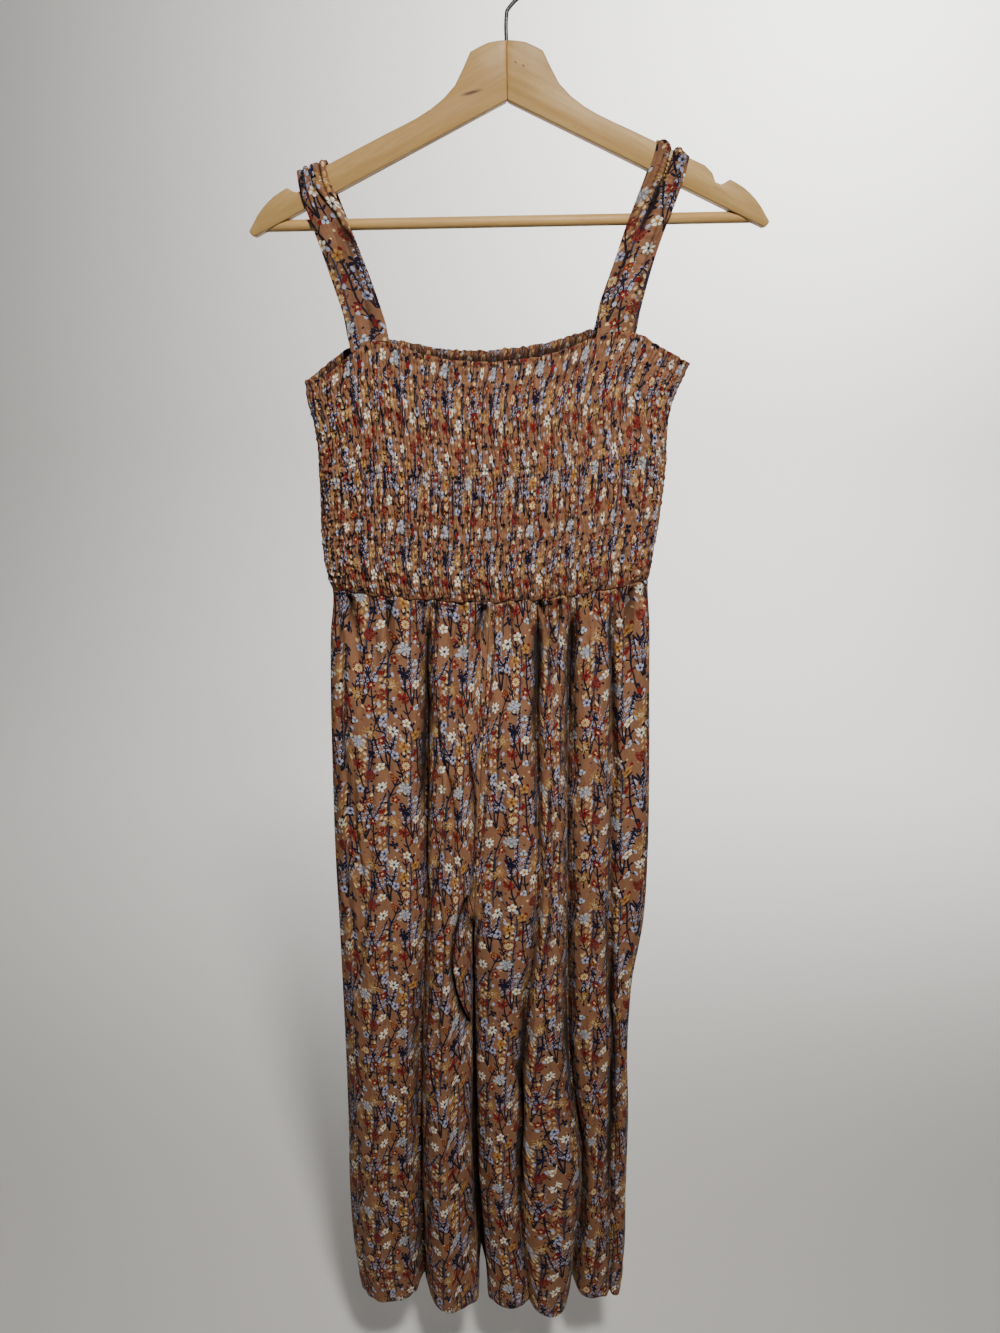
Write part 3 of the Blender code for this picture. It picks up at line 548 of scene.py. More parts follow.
def steps_in(count):
    """How many steps each of a row's points lies from the nearer end of the row."""
    return np.minimum(np.arange(count), np.arange(count)[::-1])


def unit(vectors):
    return vectors / np.linalg.norm(vectors, axis=-1, keepdims=True)


# ---------------------------------------------------------------- the cloth's forms
def even_turns(count):
    """Turns from 0 to pi that space points evenly round a smocked band."""
    fine = np.linspace(0.0, math.pi, FINE_TURNS)
    across = -BAND_HALF_WIDTH * np.cos(fine)
    away = BAND_DEPTH * np.clip(np.sin(fine), 0.0, 1.0) ** BAND_ROUNDNESS
    run = running(np.hypot(np.diff(across), np.diff(away)))
    return np.interp(np.linspace(0.0, run[-1], count), run, fine)


def sides_at(z):
    """The garment's left and right edge at a height."""
    return column_of(SIDES, "z", "left", z), column_of(SIDES, "z", "right", z)


def band_lift(face, z, share):
    """How far a smocked band stands off where its round has a share of its full height."""
    depth = column_of(BAND_DEPTHS, "z", "front" if face < 0 else "back", z)
    return SEAM_GAP / 2 + (depth - CLOTH / 2) * np.clip(share, 0.0, 1.0) ** BAND_ROUNDNESS


def band_away(face, x, z):
    """How far the smocked band's form stands off the middle plane."""
    left, right = sides_at(z)
    cosine = np.clip((2 * x - left - right) / (right - left), -1.0, 1.0)
    return band_lift(face, z, np.sqrt(1 - cosine**2))


def band_sheet(face, top, turns, shares):
    """The smocked band's form at each share of its height, -1 the front and +1 the back."""
    points = np.empty((len(shares), len(turns), 3))
    for row, share in enumerate(shares):
        left, right = sides_at(BAND_LEVEL + (WAIST_LEVEL - BAND_LEVEL) * share)
        x = (left + right) / 2 - (right - left) / 2 * np.cos(turns)
        z_top = edge_height(top, x)
        z_foot = edge_height(WAIST, x) + SEAM_GAP / 2
        z = z_top + (z_foot - z_top) * share
        points[row] = np.stack([x, face * band_lift(face, z, np.sin(turns)), z], axis=1)
    return points


def shut(z):
    """0 down the centre seam, 1 where a leg's front and back have met below the crotch."""
    return ease((CROTCH - z) / CROTCH_DROP)


def inner_edge(side, z):
    """Where a leg's lobes end at the middle: side -1 left, +1 right."""
    apart = SEAM_GAP / 2 + CLOTH / 2 * shut(z) + fold_at(INSEAM_SPREAD, z)
    return fold_at(CENTRE_X, z) + side * apart


def inseam(side, z):
    """Where a leg's cloth ends: below the crotch it runs past the other's, behind the lobes."""
    edge = inner_edge(side, z)
    past = INSEAM_OVERLAP * ease(2 * shut(z) - 1)
    sewn = fold_at(CENTRE_X, z) + side * (SEAM_GAP / 2 - past)
    return edge + (sewn - edge) * ease((z - HEM) / INSEAM_OPEN)


def inner_line(leg, z):
    """A panel's inner edge: on the centre seam above, shut and behind the lobes below."""
    depth = fold_at(FRONT_CENTRE_Y if leg.face < 0 else BACK_CENTRE_Y, z)
    depth += (leg.face * SEAM_GAP / 2 - depth) * shut(z)
    behind = INSEAM_BACK - (INSEAM_FORWARD if leg.side > 0 else 0.0)
    behind *= shut(z) * ease((z - HEM) / INSEAM_OPEN)
    return Line(inseam(leg.side, z), depth + behind)


def lobe_points(leg, level, lobe, start, end, inner):
    """A lobe's points at one level, after its first, from one line to the next."""
    count = lobe.columns * LEG_FINER
    even = np.arange(1, count + 1) / count
    crowded = (1 - np.cos(math.pi * even)) / 2
    along = even + (crowded - even) * LOBE_CROWDING
    first, last = start.x, end.x
    fullness = np.full(count, LOBE_FULLNESS)
    if start is inner or end is inner:
        beside = even if start is inner else 1 - even
        fullness -= INSEAM_STEEP * shut(level) * (1 - ease(beside / INSEAM_REACH))
        first = inner_edge(leg.side, level) if start is inner else first
        last = inner_edge(leg.side, level) if end is inner else last
    if leg.face < 0 and end is inner:
        drop = (level - (CROTCH - CROTCH_FALL_SPAN)) / CROTCH_FALL_SPAN
        inward = ease((even - CROTCH_FALL_START) / CROTCH_FALL_BLEND)
        fullness += CROTCH_FALL * math.exp(-drop * drop) * inward
    x = start.x + (end.x - start.x) * along
    within = np.clip((x - first) / (last - first), 0.0, 1.0)
    rise = np.clip(np.sin(math.pi * within), 0.0, 1.0) ** fullness
    floor = start.y + (end.y - start.y) * along
    return np.stack([x, floor + (fold_at(lobe.y, level) - floor) * rise], axis=1)


def leg_sheet(leg, levels):
    """One leg panel's form, as lobes between the lines that its deep folds follow."""
    rows = []
    for level in levels:
        left, right = sides_at(level)
        outer = Line(left if leg.side < 0 else right, leg.face * SEAM_GAP / 2)
        inner = inner_line(leg, level)
        between = [Line(fold_at(line.x, level), fold_at(line.y, level)) for line in leg.lines]
        stops = [outer, *between, inner] if leg.side < 0 else [inner, *between, outer]
        row = np.concatenate([stops[:1]] + [
            lobe_points(leg, level, lobe, start, end, inner)
            for lobe, start, end in zip(leg.lobes, stops, stops[1:])
        ])
        rows.append(np.column_stack([row, np.full(len(row), level)]))
    points = np.array(rows)
    down = (points[:, :, 2] - WAIST_LEVEL) / (HEM - WAIST_LEVEL)
    waist = edge_height(WAIST, points[:, :, 0]) - SEAM_GAP / 2
    points[:, :, 2] = waist + (HEM - waist) * down
    below = waist - points[:, :, 2]
    sewn = 1 - ease(below / GATHER_EASE)
    band = leg.face * band_away(leg.face, points[:, :, 0], points[:, :, 2])
    points[:, :, 1] += (band - points[:, :, 1]) * sewn
    for gather in leg.gathers:
        across = bump(points[:, :, 0] - gather.x, gather.width)
        room = np.clip(np.abs(points[:, :, 1]) / GATHER_ROOM, 0, 1)
        sunk = gather.depth * across * (1 - ease(below / gather.length)) * room
        points[:, :, 1] -= leg.face * sunk * (1 - GATHER_HELD * sewn)
    return points, below


def strap_sheet(stations):
    """A strap's form: its width follows the path, with lengthwise folds in it."""
    last = len(stations) - 1
    t = np.arange(STRAP_COLUMNS + 1) / STRAP_COLUMNS
    rows = []
    for row in range(last * STRAP_ROWS_A_STATION + 1):
        at = row / STRAP_ROWS_A_STATION
        x, y, z, width, lean, crease = (
            eased(at, range(last + 1), [getattr(station, name) for station in stations])
            for name in Station._fields
        )
        face, top = (-1, FRONT_TOP) if at < last / 2 else (1, BACK_TOP)
        over = 1 - ease((abs(y) - STRAP_CROWN_Y) / (STRAP_TOP_Y - STRAP_CROWN_Y))
        joined = 1 - ease(min(at, last - at))
        across = (t - 0.5) * width
        stand = crease * np.sin(2 * math.pi * t) ** 2
        px = x + across * math.cos(math.radians(lean))
        py = y + face * stand * (1 - over)
        pz = z + across * math.sin(math.radians(lean)) + stand * over
        pz = pz + (edge_height(top, px) + SEAM_GAP - pz) * joined
        py = py + (face * band_away(face, px, pz) - py) * joined
        rows.append(np.stack([px, py, pz], axis=1))
    return np.array(rows)


def outward(points, away):
    """Unit normals of a sheet's points, turned to the side that away names."""
    normals = unit(np.cross(np.gradient(points, axis=1), np.gradient(points, axis=0)))
    middle = normals[normals.shape[0] // 2, normals.shape[1] // 2]
    return normals if np.dot(middle, away) > 0 else -normals


# ---------------------------------------------------------------- the cloth's relief
def wandering(rng, shape, spread):
    """Smooth random heights over a grid, from coarse ones spread out evenly."""
    coarse = rng.normal(size=(spread[0] + 2, spread[1] + 2))
    down = np.linspace(0, spread[0], shape[0])
    along = np.linspace(0, spread[1], shape[1])
    r, c = down.astype(int), along.astype(int)
    a, b = ease(down - r)[:, None], ease(along - c)[None, :]
    upper = coarse[np.ix_(r, c)] * (1 - b) + coarse[np.ix_(r, c + 1)] * b
    lower = coarse[np.ix_(r + 1, c)] * (1 - b) + coarse[np.ix_(r + 1, c + 1)] * b
    return upper * (1 - a) + lower * a


HEADING = 4.0
FOOT_ROOM = 1.0
HEADING_STEPS = 3
STEPS_A_ROW = 3
STEPS_A_RIDGE = 4
ROW_PINCH = 0.68
RIDGE_FULLNESS = 0.75
HIDDEN_SHARE = 0.68
SIDE_PINCH = 0.15
SIDE_RIDGES = 6.0
FOOT_TAPER = 9.0
FOOT_PINCH = 0.75
FOOT_PUFF = 0.1
RIDGE_WANDER = 0.34
PUFF_UNEVENNESS = 0.45
PUFF_RANGE = (0.15, 1.8)
RIDGE_CLOTH_RANGE = (0.6, 1.4)


def shirring_shares(rows, height):
    """Where the grid's rows lie down a band, as shares of its height, and the elastic rows."""
    pitch = (height - HEADING - FOOT_ROOM) / (rows - 1)
    heading = [HEADING * k / HEADING_STEPS for k in range(HEADING_STEPS)]
    held = [HEADING + pitch * k / STEPS_A_ROW for k in range((rows - 1) * STEPS_A_ROW + 1)]
    elastic = [HEADING_STEPS + k * STEPS_A_ROW for k in range(rows)]
    return np.array(heading + held + [height]) / height, elastic


def smocking(rng, ridges, shares, elastic):
    """How far the smocking stands at each point, as a share of a full puff."""
    rows, columns = len(shares), ridges * STEPS_A_RIDGE + 1
    ridge = np.arange(columns) / STEPS_A_RIDGE
    wander = RIDGE_WANDER * wandering(rng, (rows, columns), (len(elastic), ridges // 2))
    shape = np.abs(np.sin(math.pi * (ridge[None, :] + wander))) ** RIDGE_FULLNESS
    puff = np.ones(rows)
    puff[elastic] = ROW_PINCH
    puff[:HEADING_STEPS] = 1.0
    puff[-1] = FOOT_PUFF
    uneven = 1 + PUFF_UNEVENNESS * wandering(rng, (rows, columns), (len(elastic) * 2, ridges))
    return shape * puff[:, None] * np.clip(uneven, *PUFF_RANGE)


def hidden_cloth(rng, ridges, width):
    """Where each column lies on the flat cloth: more of it hides between two ridges."""
    steps = np.tile([HIDDEN_SHARE, 1 - HIDDEN_SHARE, 1 - HIDDEN_SHARE, HIDDEN_SHARE], ridges)
    run = running(steps * np.repeat(rng.uniform(*RIDGE_CLOTH_RANGE, ridges), STEPS_A_RIDGE))
    return run / run[-1] * width


def creases(points, panel_creases):
    """How far the creases sink the cloth at each point."""
    x, z = points[:, :, 0], points[:, :, 2]
    sunk = np.zeros(x.shape)
    for crease in panel_creases:
        down = (crease.top - z) / (crease.top - crease.foot)
        wave = CREASE_WANDER * np.sin(z / CREASE_WAVE * 2 * math.pi + crease.x)
        line = crease.x + crease.drift * down + wave
        start = ease((crease.top - z) / CREASE_START)
        end = ease((z - crease.foot) / CREASE_END)
        width = crease.width * (CREASE_NARROW + CREASE_WIDENING * np.clip(down, 0, 1))
        steep = np.where((x > line) == (math.sin(crease.x) > 0), CREASE_STEEP, 1.0)
        sunk += CREASE_SINK * crease.depth * bump(x - line, width * steep) * start * end
    return sunk


# A fold that bows aside from a straight line, from its top to its foot, and back.
Bow = namedtuple("Bow", "x aside top foot depth width")
FRONT_BOWS = (Bow(-36, -21, -845, -1032, 16.0, 2.5), Bow(-36, 5, -690, -866, 9.0, 2.2))


def bows(points):
    """How far the bowed folds beside the crotch sink the front."""
    x, z = points[:, :, 0], points[:, :, 2]
    sunk = np.zeros(x.shape)
    for bow in FRONT_BOWS:
        arch = np.sin(math.pi * np.clip((bow.top - z) / (bow.top - bow.foot), 0.0, 1.0))
        line = bow.x + bow.aside * arch
        sunk += bow.depth * bump(x - line, bow.width) * ease(arch * 3)
    return sunk


SLIT_DEPTH = 9.6
SLIT_DEEPENING = Wave(0.375, 89.0)
SLIT_WIDTH = 4.2
SLIT_WIDENING = Wave(0.35, 61.0)
SLIT_SWAY = Wave(2.2, 53.0)
SLIT_QUIVER = Wave(0.9, 17.0)


def slits(points, lines):
    """How far the deep folds between two lobes sink below the form, as narrow slits."""
    x, z = points[:, :, 0], points[:, :, 2]
    sunk = np.zeros(x.shape)
    for line in lines:
        width = SLIT_WIDTH * (1.0 + swing(SLIT_WIDENING, z, line.x.waist))
        sway = swing(SLIT_SWAY, z, line.x.waist) + swing(SLIT_QUIVER, z, line.x.hem)
        depth = SLIT_DEPTH * (1.0 + swing(SLIT_DEEPENING, z, line.x.hip))
        sunk += depth * bump(x - fold_at(line.x, z) - sway, width)
    return sunk


PUCKERS = 21
PUCKER_DEPTHS = (2.5, 8.5)
PUCKER_LENGTHS = (25, 150)
PUCKER_WIDTHS = (1.3, 2.7)
PUCKER_FAN = 0.002
PUCKER_SPREAD = 60.0
PUCKER_HELD = 0.05
PUCKER_START = 9.0


def puckers(rng, x, below):
    """Many short gathers under the waist seam, each of its own place, depth and length."""
    places = np.sort(rng.uniform(x.min(), x.max(), PUCKERS))
    sunk = np.zeros(x.shape)
    for place in places:
        depth, length, width = (
            rng.uniform(*reach) for reach in (PUCKER_DEPTHS, PUCKER_LENGTHS, PUCKER_WIDTHS)
        )
        fan = place + (x.mean() - place) * PUCKER_FAN * below
        spread = width * (1 + below / PUCKER_SPREAD)
        sunk += depth * bump(x - fan, spread) * (1 - ease(below / length))
    return sunk * (PUCKER_HELD + (1 - PUCKER_HELD) * ease(below / PUCKER_START))


HEM_TURN = 11.0
HEM_STAND = 0.5
HEM_BLEND = 1.5
HEM_STITCH = 9.5
HEM_GROOVE = 0.45
HEM_GROOVE_WIDTH = 1.3


def hem_relief(height):
    """The doubled cloth of the hem, and the groove that its stitches pull."""
    doubled = HEM_STAND * (1 - ease((height - HEM_TURN) / HEM_BLEND))
    return doubled - HEM_GROOVE * bump(height - HEM_STITCH, HEM_GROOVE_WIDTH)


TUCK_END = 0.5
TUCK_STEEP = 0.25
TUCK_FADE = 0.5


def tucks(strap_tucks, at, across):
    """How far a strap's tucks raise or sink it, by station and place across."""
    stand = np.zeros((len(at), len(across)))
    for tuck in strap_tucks:
        share = np.clip((at - tuck.start) / (tuck.end - tuck.start), 0.0, 1.0)
        line = tuck.across_start + (tuck.across_end - tuck.across_start) * share
        there = ease((at - tuck.start) / TUCK_END + 0.5) * ease((tuck.end - at) / TUCK_END + 0.5)
        off = across[None, :] - line[:, None]
        edge = 1 / (1 + np.exp(-off / (tuck.width * TUCK_STEEP)))
        step = tuck.step * edge * np.exp(-np.maximum(off, 0) / TUCK_FADE)
        stand += (step - tuck.groove * bump(off, tuck.width)) * there[:, None]
    return stand


# ---------------------------------------------------------------- meshes
def mesh_of(bm, name):
    """A mesh made from a bmesh, which is freed."""
    mesh = bpy.data.meshes.new(name)
    bm.to_mesh(mesh)
    bm.free()
    return mesh


def placed(name, data):
    """A new object in the scene, at the origin."""
    piece = bpy.data.objects.new(name, data)
    bpy.context.scene.collection.objects.link(piece)
    return piece


def points_of(mesh):
    """A mesh's points, as rows of x, y and z."""
    flat = np.empty(len(mesh.vertices) * 3, np.float32)
    mesh.vertices.foreach_get("co", flat)
    return flat.reshape(-1, 3)


def set_points(mesh, points):
    """Moves a mesh's points to places in millimetres."""
    mesh.vertices.foreach_set("co", (points * MM).astype(np.float32).ravel())


def spread_print(points, start):
    """Where each point lies on the flat cloth, in metres: u across and v up."""
    across = running(np.linalg.norm(np.diff(points, axis=1), axis=2).mean(axis=0))
    drops = np.linalg.norm(np.diff(points, axis=0), axis=2)
    down = np.concatenate([np.zeros((1, points.shape[1])), np.cumsum(drops, axis=0)])
    u = np.broadcast_to(across, points.shape[:2])
    return (np.stack([u, -down], axis=2) + np.array(start)) * MM


def shell(name, points, cloth_uv, thickness, materials, away, **shades):
    """A thin shell of cloth over a grid of points, which faces the side that away names."""
    rows, columns = points.shape[:2]
    bm = bmesh.new()
    bm.loops.layers.uv.new("cloth")
    bmesh.ops.create_grid(bm, x_segments=columns - 1, y_segments=rows - 1, size=0.5)
    mesh = mesh_of(bm, name)
    flat = points_of(mesh)
    column = np.rint((flat[:, 0] + 0.5) * (columns - 1)).astype(int)
    row = np.rint((flat[:, 1] + 0.5) * (rows - 1)).astype(int)
    set_points(mesh, points[row, column])
    corner = np.empty(len(mesh.loops), np.int32)
    mesh.loops.foreach_get("vertex_index", corner)
    spread = cloth_uv[row, column][corner].astype(np.float32)
    mesh.uv_layers["cloth"].data.foreach_set("uv", spread.ravel())
    for kind, shade in shades.items():
        values = mesh.attributes.new(kind, "FLOAT", "POINT")
        values.data.foreach_set("value", shade[row, column].astype(np.float32))
    mesh.update()
    turns = np.empty(len(mesh.polygons) * 3, np.float32)
    mesh.polygons.foreach_get("normal", turns)
    if turns.reshape(-1, 3).mean(axis=0).dot(away) < 0:
        mesh.flip_normals()
    mesh.shade_smooth()
    for material in materials:
        mesh.materials.append(material)
    piece = placed(name, mesh)
    walled = piece.modifiers.new("cloth thickness", "SOLIDIFY")
    walled.thickness = thickness
    walled.offset = 0.0
    walled.material_offset = 1 if len(materials) > 1 else 0
    return piece


STITCH_SPACING = 10.0


def sewing(name, lines, length, thick, material):
    """Stitches along lines: small spindles, copied in a row and then laid on the cloth."""
    places, along, outs = (np.concatenate([line[k] for line in lines]) for k in range(3))
    along = unit(along)
    side = unit(np.cross(outs, along))
    up = np.cross(along, side)
    bm = bmesh.new()
    bmesh.ops.create_uvsphere(bm, u_segments=5, v_segments=3, radius=0.5)
    piece = placed(name, mesh_of(bm, name + "_one"))
    row = piece.modifiers.new("row of stitches", "ARRAY")
    row.use_relative_offset = False
    row.use_constant_offset = True
    row.constant_offset_displace = (STITCH_SPACING, 0.0, 0.0)
    row.count = len(places)
    graph = bpy.context.evaluated_depsgraph_get()
    mesh = bpy.data.meshes.new_from_object(piece.evaluated_get(graph))
    piece.modifiers.clear()
    mesh.name = name
    piece.data = mesh
    own = points_of(mesh)
    copy = np.rint(own[:, 0] / STITCH_SPACING).astype(int)
    own = own - np.outer(copy, (STITCH_SPACING, 0.0, 0.0))
    laid = places[copy] + along[copy] * own[:, :1] * length
    laid += (side[copy] * own[:, 1:2] + up[copy] * own[:, 2:]) * thick
    set_points(mesh, laid)
    mesh.update()
    mesh.shade_smooth()
    mesh.materials.append(material)
    return piece


def stitched(points, normals, lift, pitch):
    """Places, directions and outward sides of even stitches along a line of points."""
    line = points + normals * lift
    run = running(np.linalg.norm(np.diff(line, axis=0), axis=1))
    at = np.arange(pitch, run[-1] - pitch, pitch)
    places = np.stack([np.interp(at, run, line[:, k]) for k in range(3)], axis=1)
    outs = np.stack([np.interp(at, run, normals[:, k]) for k in range(3)], axis=1)
    return places, np.gradient(places, axis=0), outs


# ---------------------------------------------------------------- node sums
def feed(tree, socket, value):
    """Gives a socket what a wire or another socket carries, or a plain value."""
    if isinstance(value, Wire):
        value = value.socket
    if isinstance(value, bpy.types.NodeSocket):
        tree.links.new(value, socket)
    else:
        socket.default_value = value


def sum_of(operation):
    """A method that adds the node of one operation to a wire."""
    return lambda wire, *others: wire.made(operation, *others)


class Wire:
    """A number in a node tree, with which sums are written as they are in Python."""

    def __init__(self, tree, socket):
        self.tree = tree
        self.socket = socket

    def made(self, operation, *others, clamp=False):
        node = self.tree.nodes.new("ShaderNodeMath")
        node.operation = operation
        node.use_clamp = clamp
        for socket, value in zip(node.inputs, (self, *others)):
            feed(self.tree, socket, value)
        return Wire(self.tree, node.outputs[0])

    __add__ = sum_of("ADD")
    __sub__ = sum_of("SUBTRACT")
    __mul__ = sum_of("MULTIPLY")
    __truediv__ = sum_of("DIVIDE")
    __mod__ = sum_of("FLOORED_MODULO")
    __abs__ = sum_of("ABSOLUTE")
    scaled = sum_of("MULTIPLY_ADD")
    floor = sum_of("FLOOR")
    sine = sum_of("SINE")
    over = sum_of("GREATER_THAN")
    under = sum_of("LESS_THAN")
    at_least = sum_of("MAXIMUM")
    at_most = sum_of("MINIMUM")

    def kept(self):
        """This, kept between 0 and 1."""
        return self.made("ADD", 0.0, clamp=True)

    def away(self, other):
        """The length of a step whose sides are this and the other."""
        return (self * self + other * other).made("SQRT")

    def inside(self, reach, blur=0.12):
        """1 where this is below a reach, 0 beyond, with a soft edge between."""
        if isinstance(reach, Wire):
            return ((reach - self) / blur).made("ADD", 0.5, clamp=True)
        return self.scaled(-1.0 / blur, reach / blur + 0.5).kept()


def node_on(tree, kind, vector, **values):
    """A node that reads a vector, with plain values on its other sockets."""
    node = tree.nodes.new(kind)
    for name, value in values.items():
        node.inputs[name].default_value = value
    tree.links.new(vector, node.inputs["Vector"])
    return node


def noise_of(tree, vector, scale, detail=3.0, rough=0.55):
    node = node_on(tree, "ShaderNodeTexNoise", vector, Scale=scale, Detail=detail, Roughness=rough)
    return Wire(tree, node.outputs["Fac"])


def sides_of(tree, vector):
    """A vector's x, y and z in metres, as wires in millimetres."""
    node = node_on(tree, "ShaderNodeSeparateXYZ", vector)
    return [Wire(tree, socket) / MM for socket in node.outputs]


def parts_of(tree, colour):
    node = tree.nodes.new("ShaderNodeSeparateColor")
    tree.links.new(colour, node.inputs[0])
    return [Wire(tree, socket) for socket in node.outputs]


def painted(tree, under, over, share):
    """One colour laid over another by a share."""
    node = tree.nodes.new("ShaderNodeMix")
    node.data_type = "RGBA"
    feed(tree, node.inputs["Factor"], share)
    for socket, colour in ((node.inputs["A"], under), (node.inputs["B"], over)):
        feed(tree, socket, colour if isinstance(colour, bpy.types.NodeSocket) else (*colour, 1.0))
    return node.outputs["Result"]


def lookup(tree, pick, values, shares=None):
    """A table's row, of three values or four, for a pick from 0 to 1 by each row's share."""
    node = tree.nodes.new("ShaderNodeValToRGB")
    ramp = node.color_ramp
    ramp.interpolation = "CONSTANT"
    shares = shares or [1.0] * len(values)
    starts = running(shares)[:-1] / sum(shares)
    while len(ramp.elements) < len(values):
        ramp.elements.new(1.0)
    for element, start, value in zip(ramp.elements, starts, values):
        element.position = start
        element.color = (*value, 1.0)[:4]
    tree.links.new(pick.socket, node.inputs["Fac"])
    return node


# ---------------------------------------------------------------- the print
# Half a stem's width, and how soft a mark's edge is.
STEM = 0.88
SOFT = 0.3

# The repeat as a grid of cells: how far a motif strays in its cell, as a share of the cell,
# the number that its chances start from, and how far the grid lies to the left and below.
Cells = namedtuple("Cells", "columns rows stray seed left below")
SPECK_CELLS = Cells(9, 14, 0.7, 1.0, 0.0, 0.0)
TWIG_CELLS = Cells(3, 2, 0.3, 2.0, 0.0, 0.0)
SEED_CELLS = Cells(2, 2, 0.2, 3.0, 11.0, 20.0)
SPIKE_CELLS = Cells(2, 2, 0.2, 4.0, 30.0, 0.0)
MORE_TWIG_CELLS = Cells(3, 2, 0.3, 7.0, 17.0, 31.0)

Spread = namedtuple("Spread", "across up width length")


def scattered(tree, spread, cells):
    """A repeat's cells, each with its motif's own place: x and y from it, and two chances."""
    cell_width, cell_length = spread.width / cells.columns, spread.length / cells.rows
    v = (spread.up + cells.below) / cell_length
    row = v.floor()
    u = (spread.across + cells.left) / cell_width + (row % 2.0) * 0.5
    column = u.floor()
    place = tree.nodes.new("ShaderNodeCombineXYZ")
    for socket, value in zip(place.inputs, (
            column % float(cells.columns), row % float(cells.rows), cells.seed)):
        feed(tree, socket, value)
    chance = node_on(tree, "ShaderNodeTexWhiteNoise", place.outputs[0])
    first, second, third = parts_of(tree, chance.outputs["Color"])
    x = ((u - column) + first.scaled(cells.stray, -0.5 - cells.stray / 2)) * cell_width
    y = ((v - row) + second.scaled(cells.stray, -0.5 - cells.stray / 2)) * cell_length
    return x, y, third, Wire(tree, chance.outputs["Value"])


def charted(tree, spread, chart, shift):
    """A repeat's cells, each with the flower head that a chart gives it."""
    rows, columns = len(chart), len(chart[0])
    cell_width, cell_length = spread.width / columns, spread.length / rows
    u, v = spread.across / cell_width + shift, spread.up / cell_length + shift
    column, row = u.floor(), v.floor()
    cell = (column % float(columns)) + (row % float(rows)) * float(columns)
    kinds = list(BLOOMS)
    heads = [
        (head.right / HEAD_REACH + 0.5, head.up / HEAD_REACH + 0.5, (number * HEAD_TURN) % 1.0,
         (kinds.index(head.kind) + 0.5) / len(kinds))
        for number, head in enumerate(head for line in chart for head in line)
    ]
    ramp = lookup(tree, (cell + 0.5) / float(rows * columns), heads)
    right, higher, turn = parts_of(tree, ramp.outputs["Color"])
    x = ((u - column) - 0.5) * cell_width - (right - 0.5) * HEAD_REACH
    y = ((v - row) - 0.5) * cell_length - (higher - 0.5) * HEAD_REACH
    return x, y, turn, Wire(tree, ramp.outputs["Alpha"])


# The widest flower and the most petals that a colour's channel can carry.
WIDEST = 8.0
MOST_PETALS = 16.0
PETAL_LINE = 0.34
PETAL_LINE_START = 0.25
PETAL_LINE_INK = 0.8
HEART_BLUR = 0.10
EYE_BLUR = 0.08
HEAD_BLUR = 0.35


def flowers(tree, under, place, dots):
    """Flower heads of several kinds, with rings, petals and dotted heads."""
    x, y, turn, pick = place

    def chosen(row):
        """What a row of values gives for the kind of flower that stands here."""
        return lookup(tree, pick, [row(kind) for kind in BLOOMS.values()]).outputs["Color"]

    radius, petals, gap = parts_of(
        tree, chosen(lambda kind: (kind.radius / WIDEST, kind.petals / MOST_PETALS, kind.gap))
    )
    eye, heart, dotted = parts_of(tree, chosen(lambda kind: (kind.eye, kind.heart, kind.dots)))
    angle = y.made("ARCTAN2", x) + turn * (2 * math.pi)
    lobe = abs((angle * petals * (MOST_PETALS / 2)).made("COSINE"))
    reach = radius * WIDEST * (gap * (lobe - 1.0) + 1.0)
    far = x.away(y)
    share = far / reach
    petal = chosen(lambda kind: kind.petal)
    inner = chosen(lambda kind: kind.inner)
    colour = painted(tree, petal, inner, share.inside(heart, HEART_BLUR))
    lines = lobe.inside(PETAL_LINE, SOFT) * share.over(PETAL_LINE_START)
    colour = painted(tree, colour, DARK_WINE, lines * PETAL_LINE_INK)
    middle = chosen(lambda kind: kind.middle)
    colour = painted(tree, colour, middle, share.inside(eye, EYE_BLUR))
    body = far.inside(reach, HEAD_BLUR) * (dotted * dots).scaled(-1.0, 1.0)
    return painted(tree, under, colour, body)


# A small oval mark: how far its middle lies to the side and up, and half its size.
Oval = namedtuple("Oval", "side up width height")


def in_oval(oval, side, up):
    """How far out a place lies in an oval, 0 at its middle and 1 at its rim."""
    return ((side - oval.side) / oval.width).away((up - oval.up) / oval.height)


SPIKE_FOOT = 32.0
SPIKE_LEAN = 0.30
SPIKE_FAN = 0.26
SPIKE_SWAY = 1.2
SPIKE_SWAYING = 0.09
SPIKE_TAPER = 0.03
SPIKE_TIP = 0.40
SPIKE_LENGTH = 62.0
SIDE_SPIKE_SHORTER = 14.0
RIGHT_SPIKE_LONGER = 5.0
FLORET_STEP = 5.4
FLORET = Oval(1.8, FLORET_STEP / 2, 1.5, 1.8)
FLORET_BLUR = 0.2
FLORET_STAGGER = 1.7
FLORET_SHADING = 0.2
FLORET_EYE = Oval(1.6, 2.2, 0.7, 0.7)
FLORET_EYE_BLUR = 0.4
SPIKE_BUD = Oval(1.3, FLORET_STEP / 2, 1.2, 0.7)
SPIKE_BUD_LIFT = 1.6
SPIKE_BUD_SIZE = 0.8
FLORETS_START = 20.0
BUDS_START = 28.0


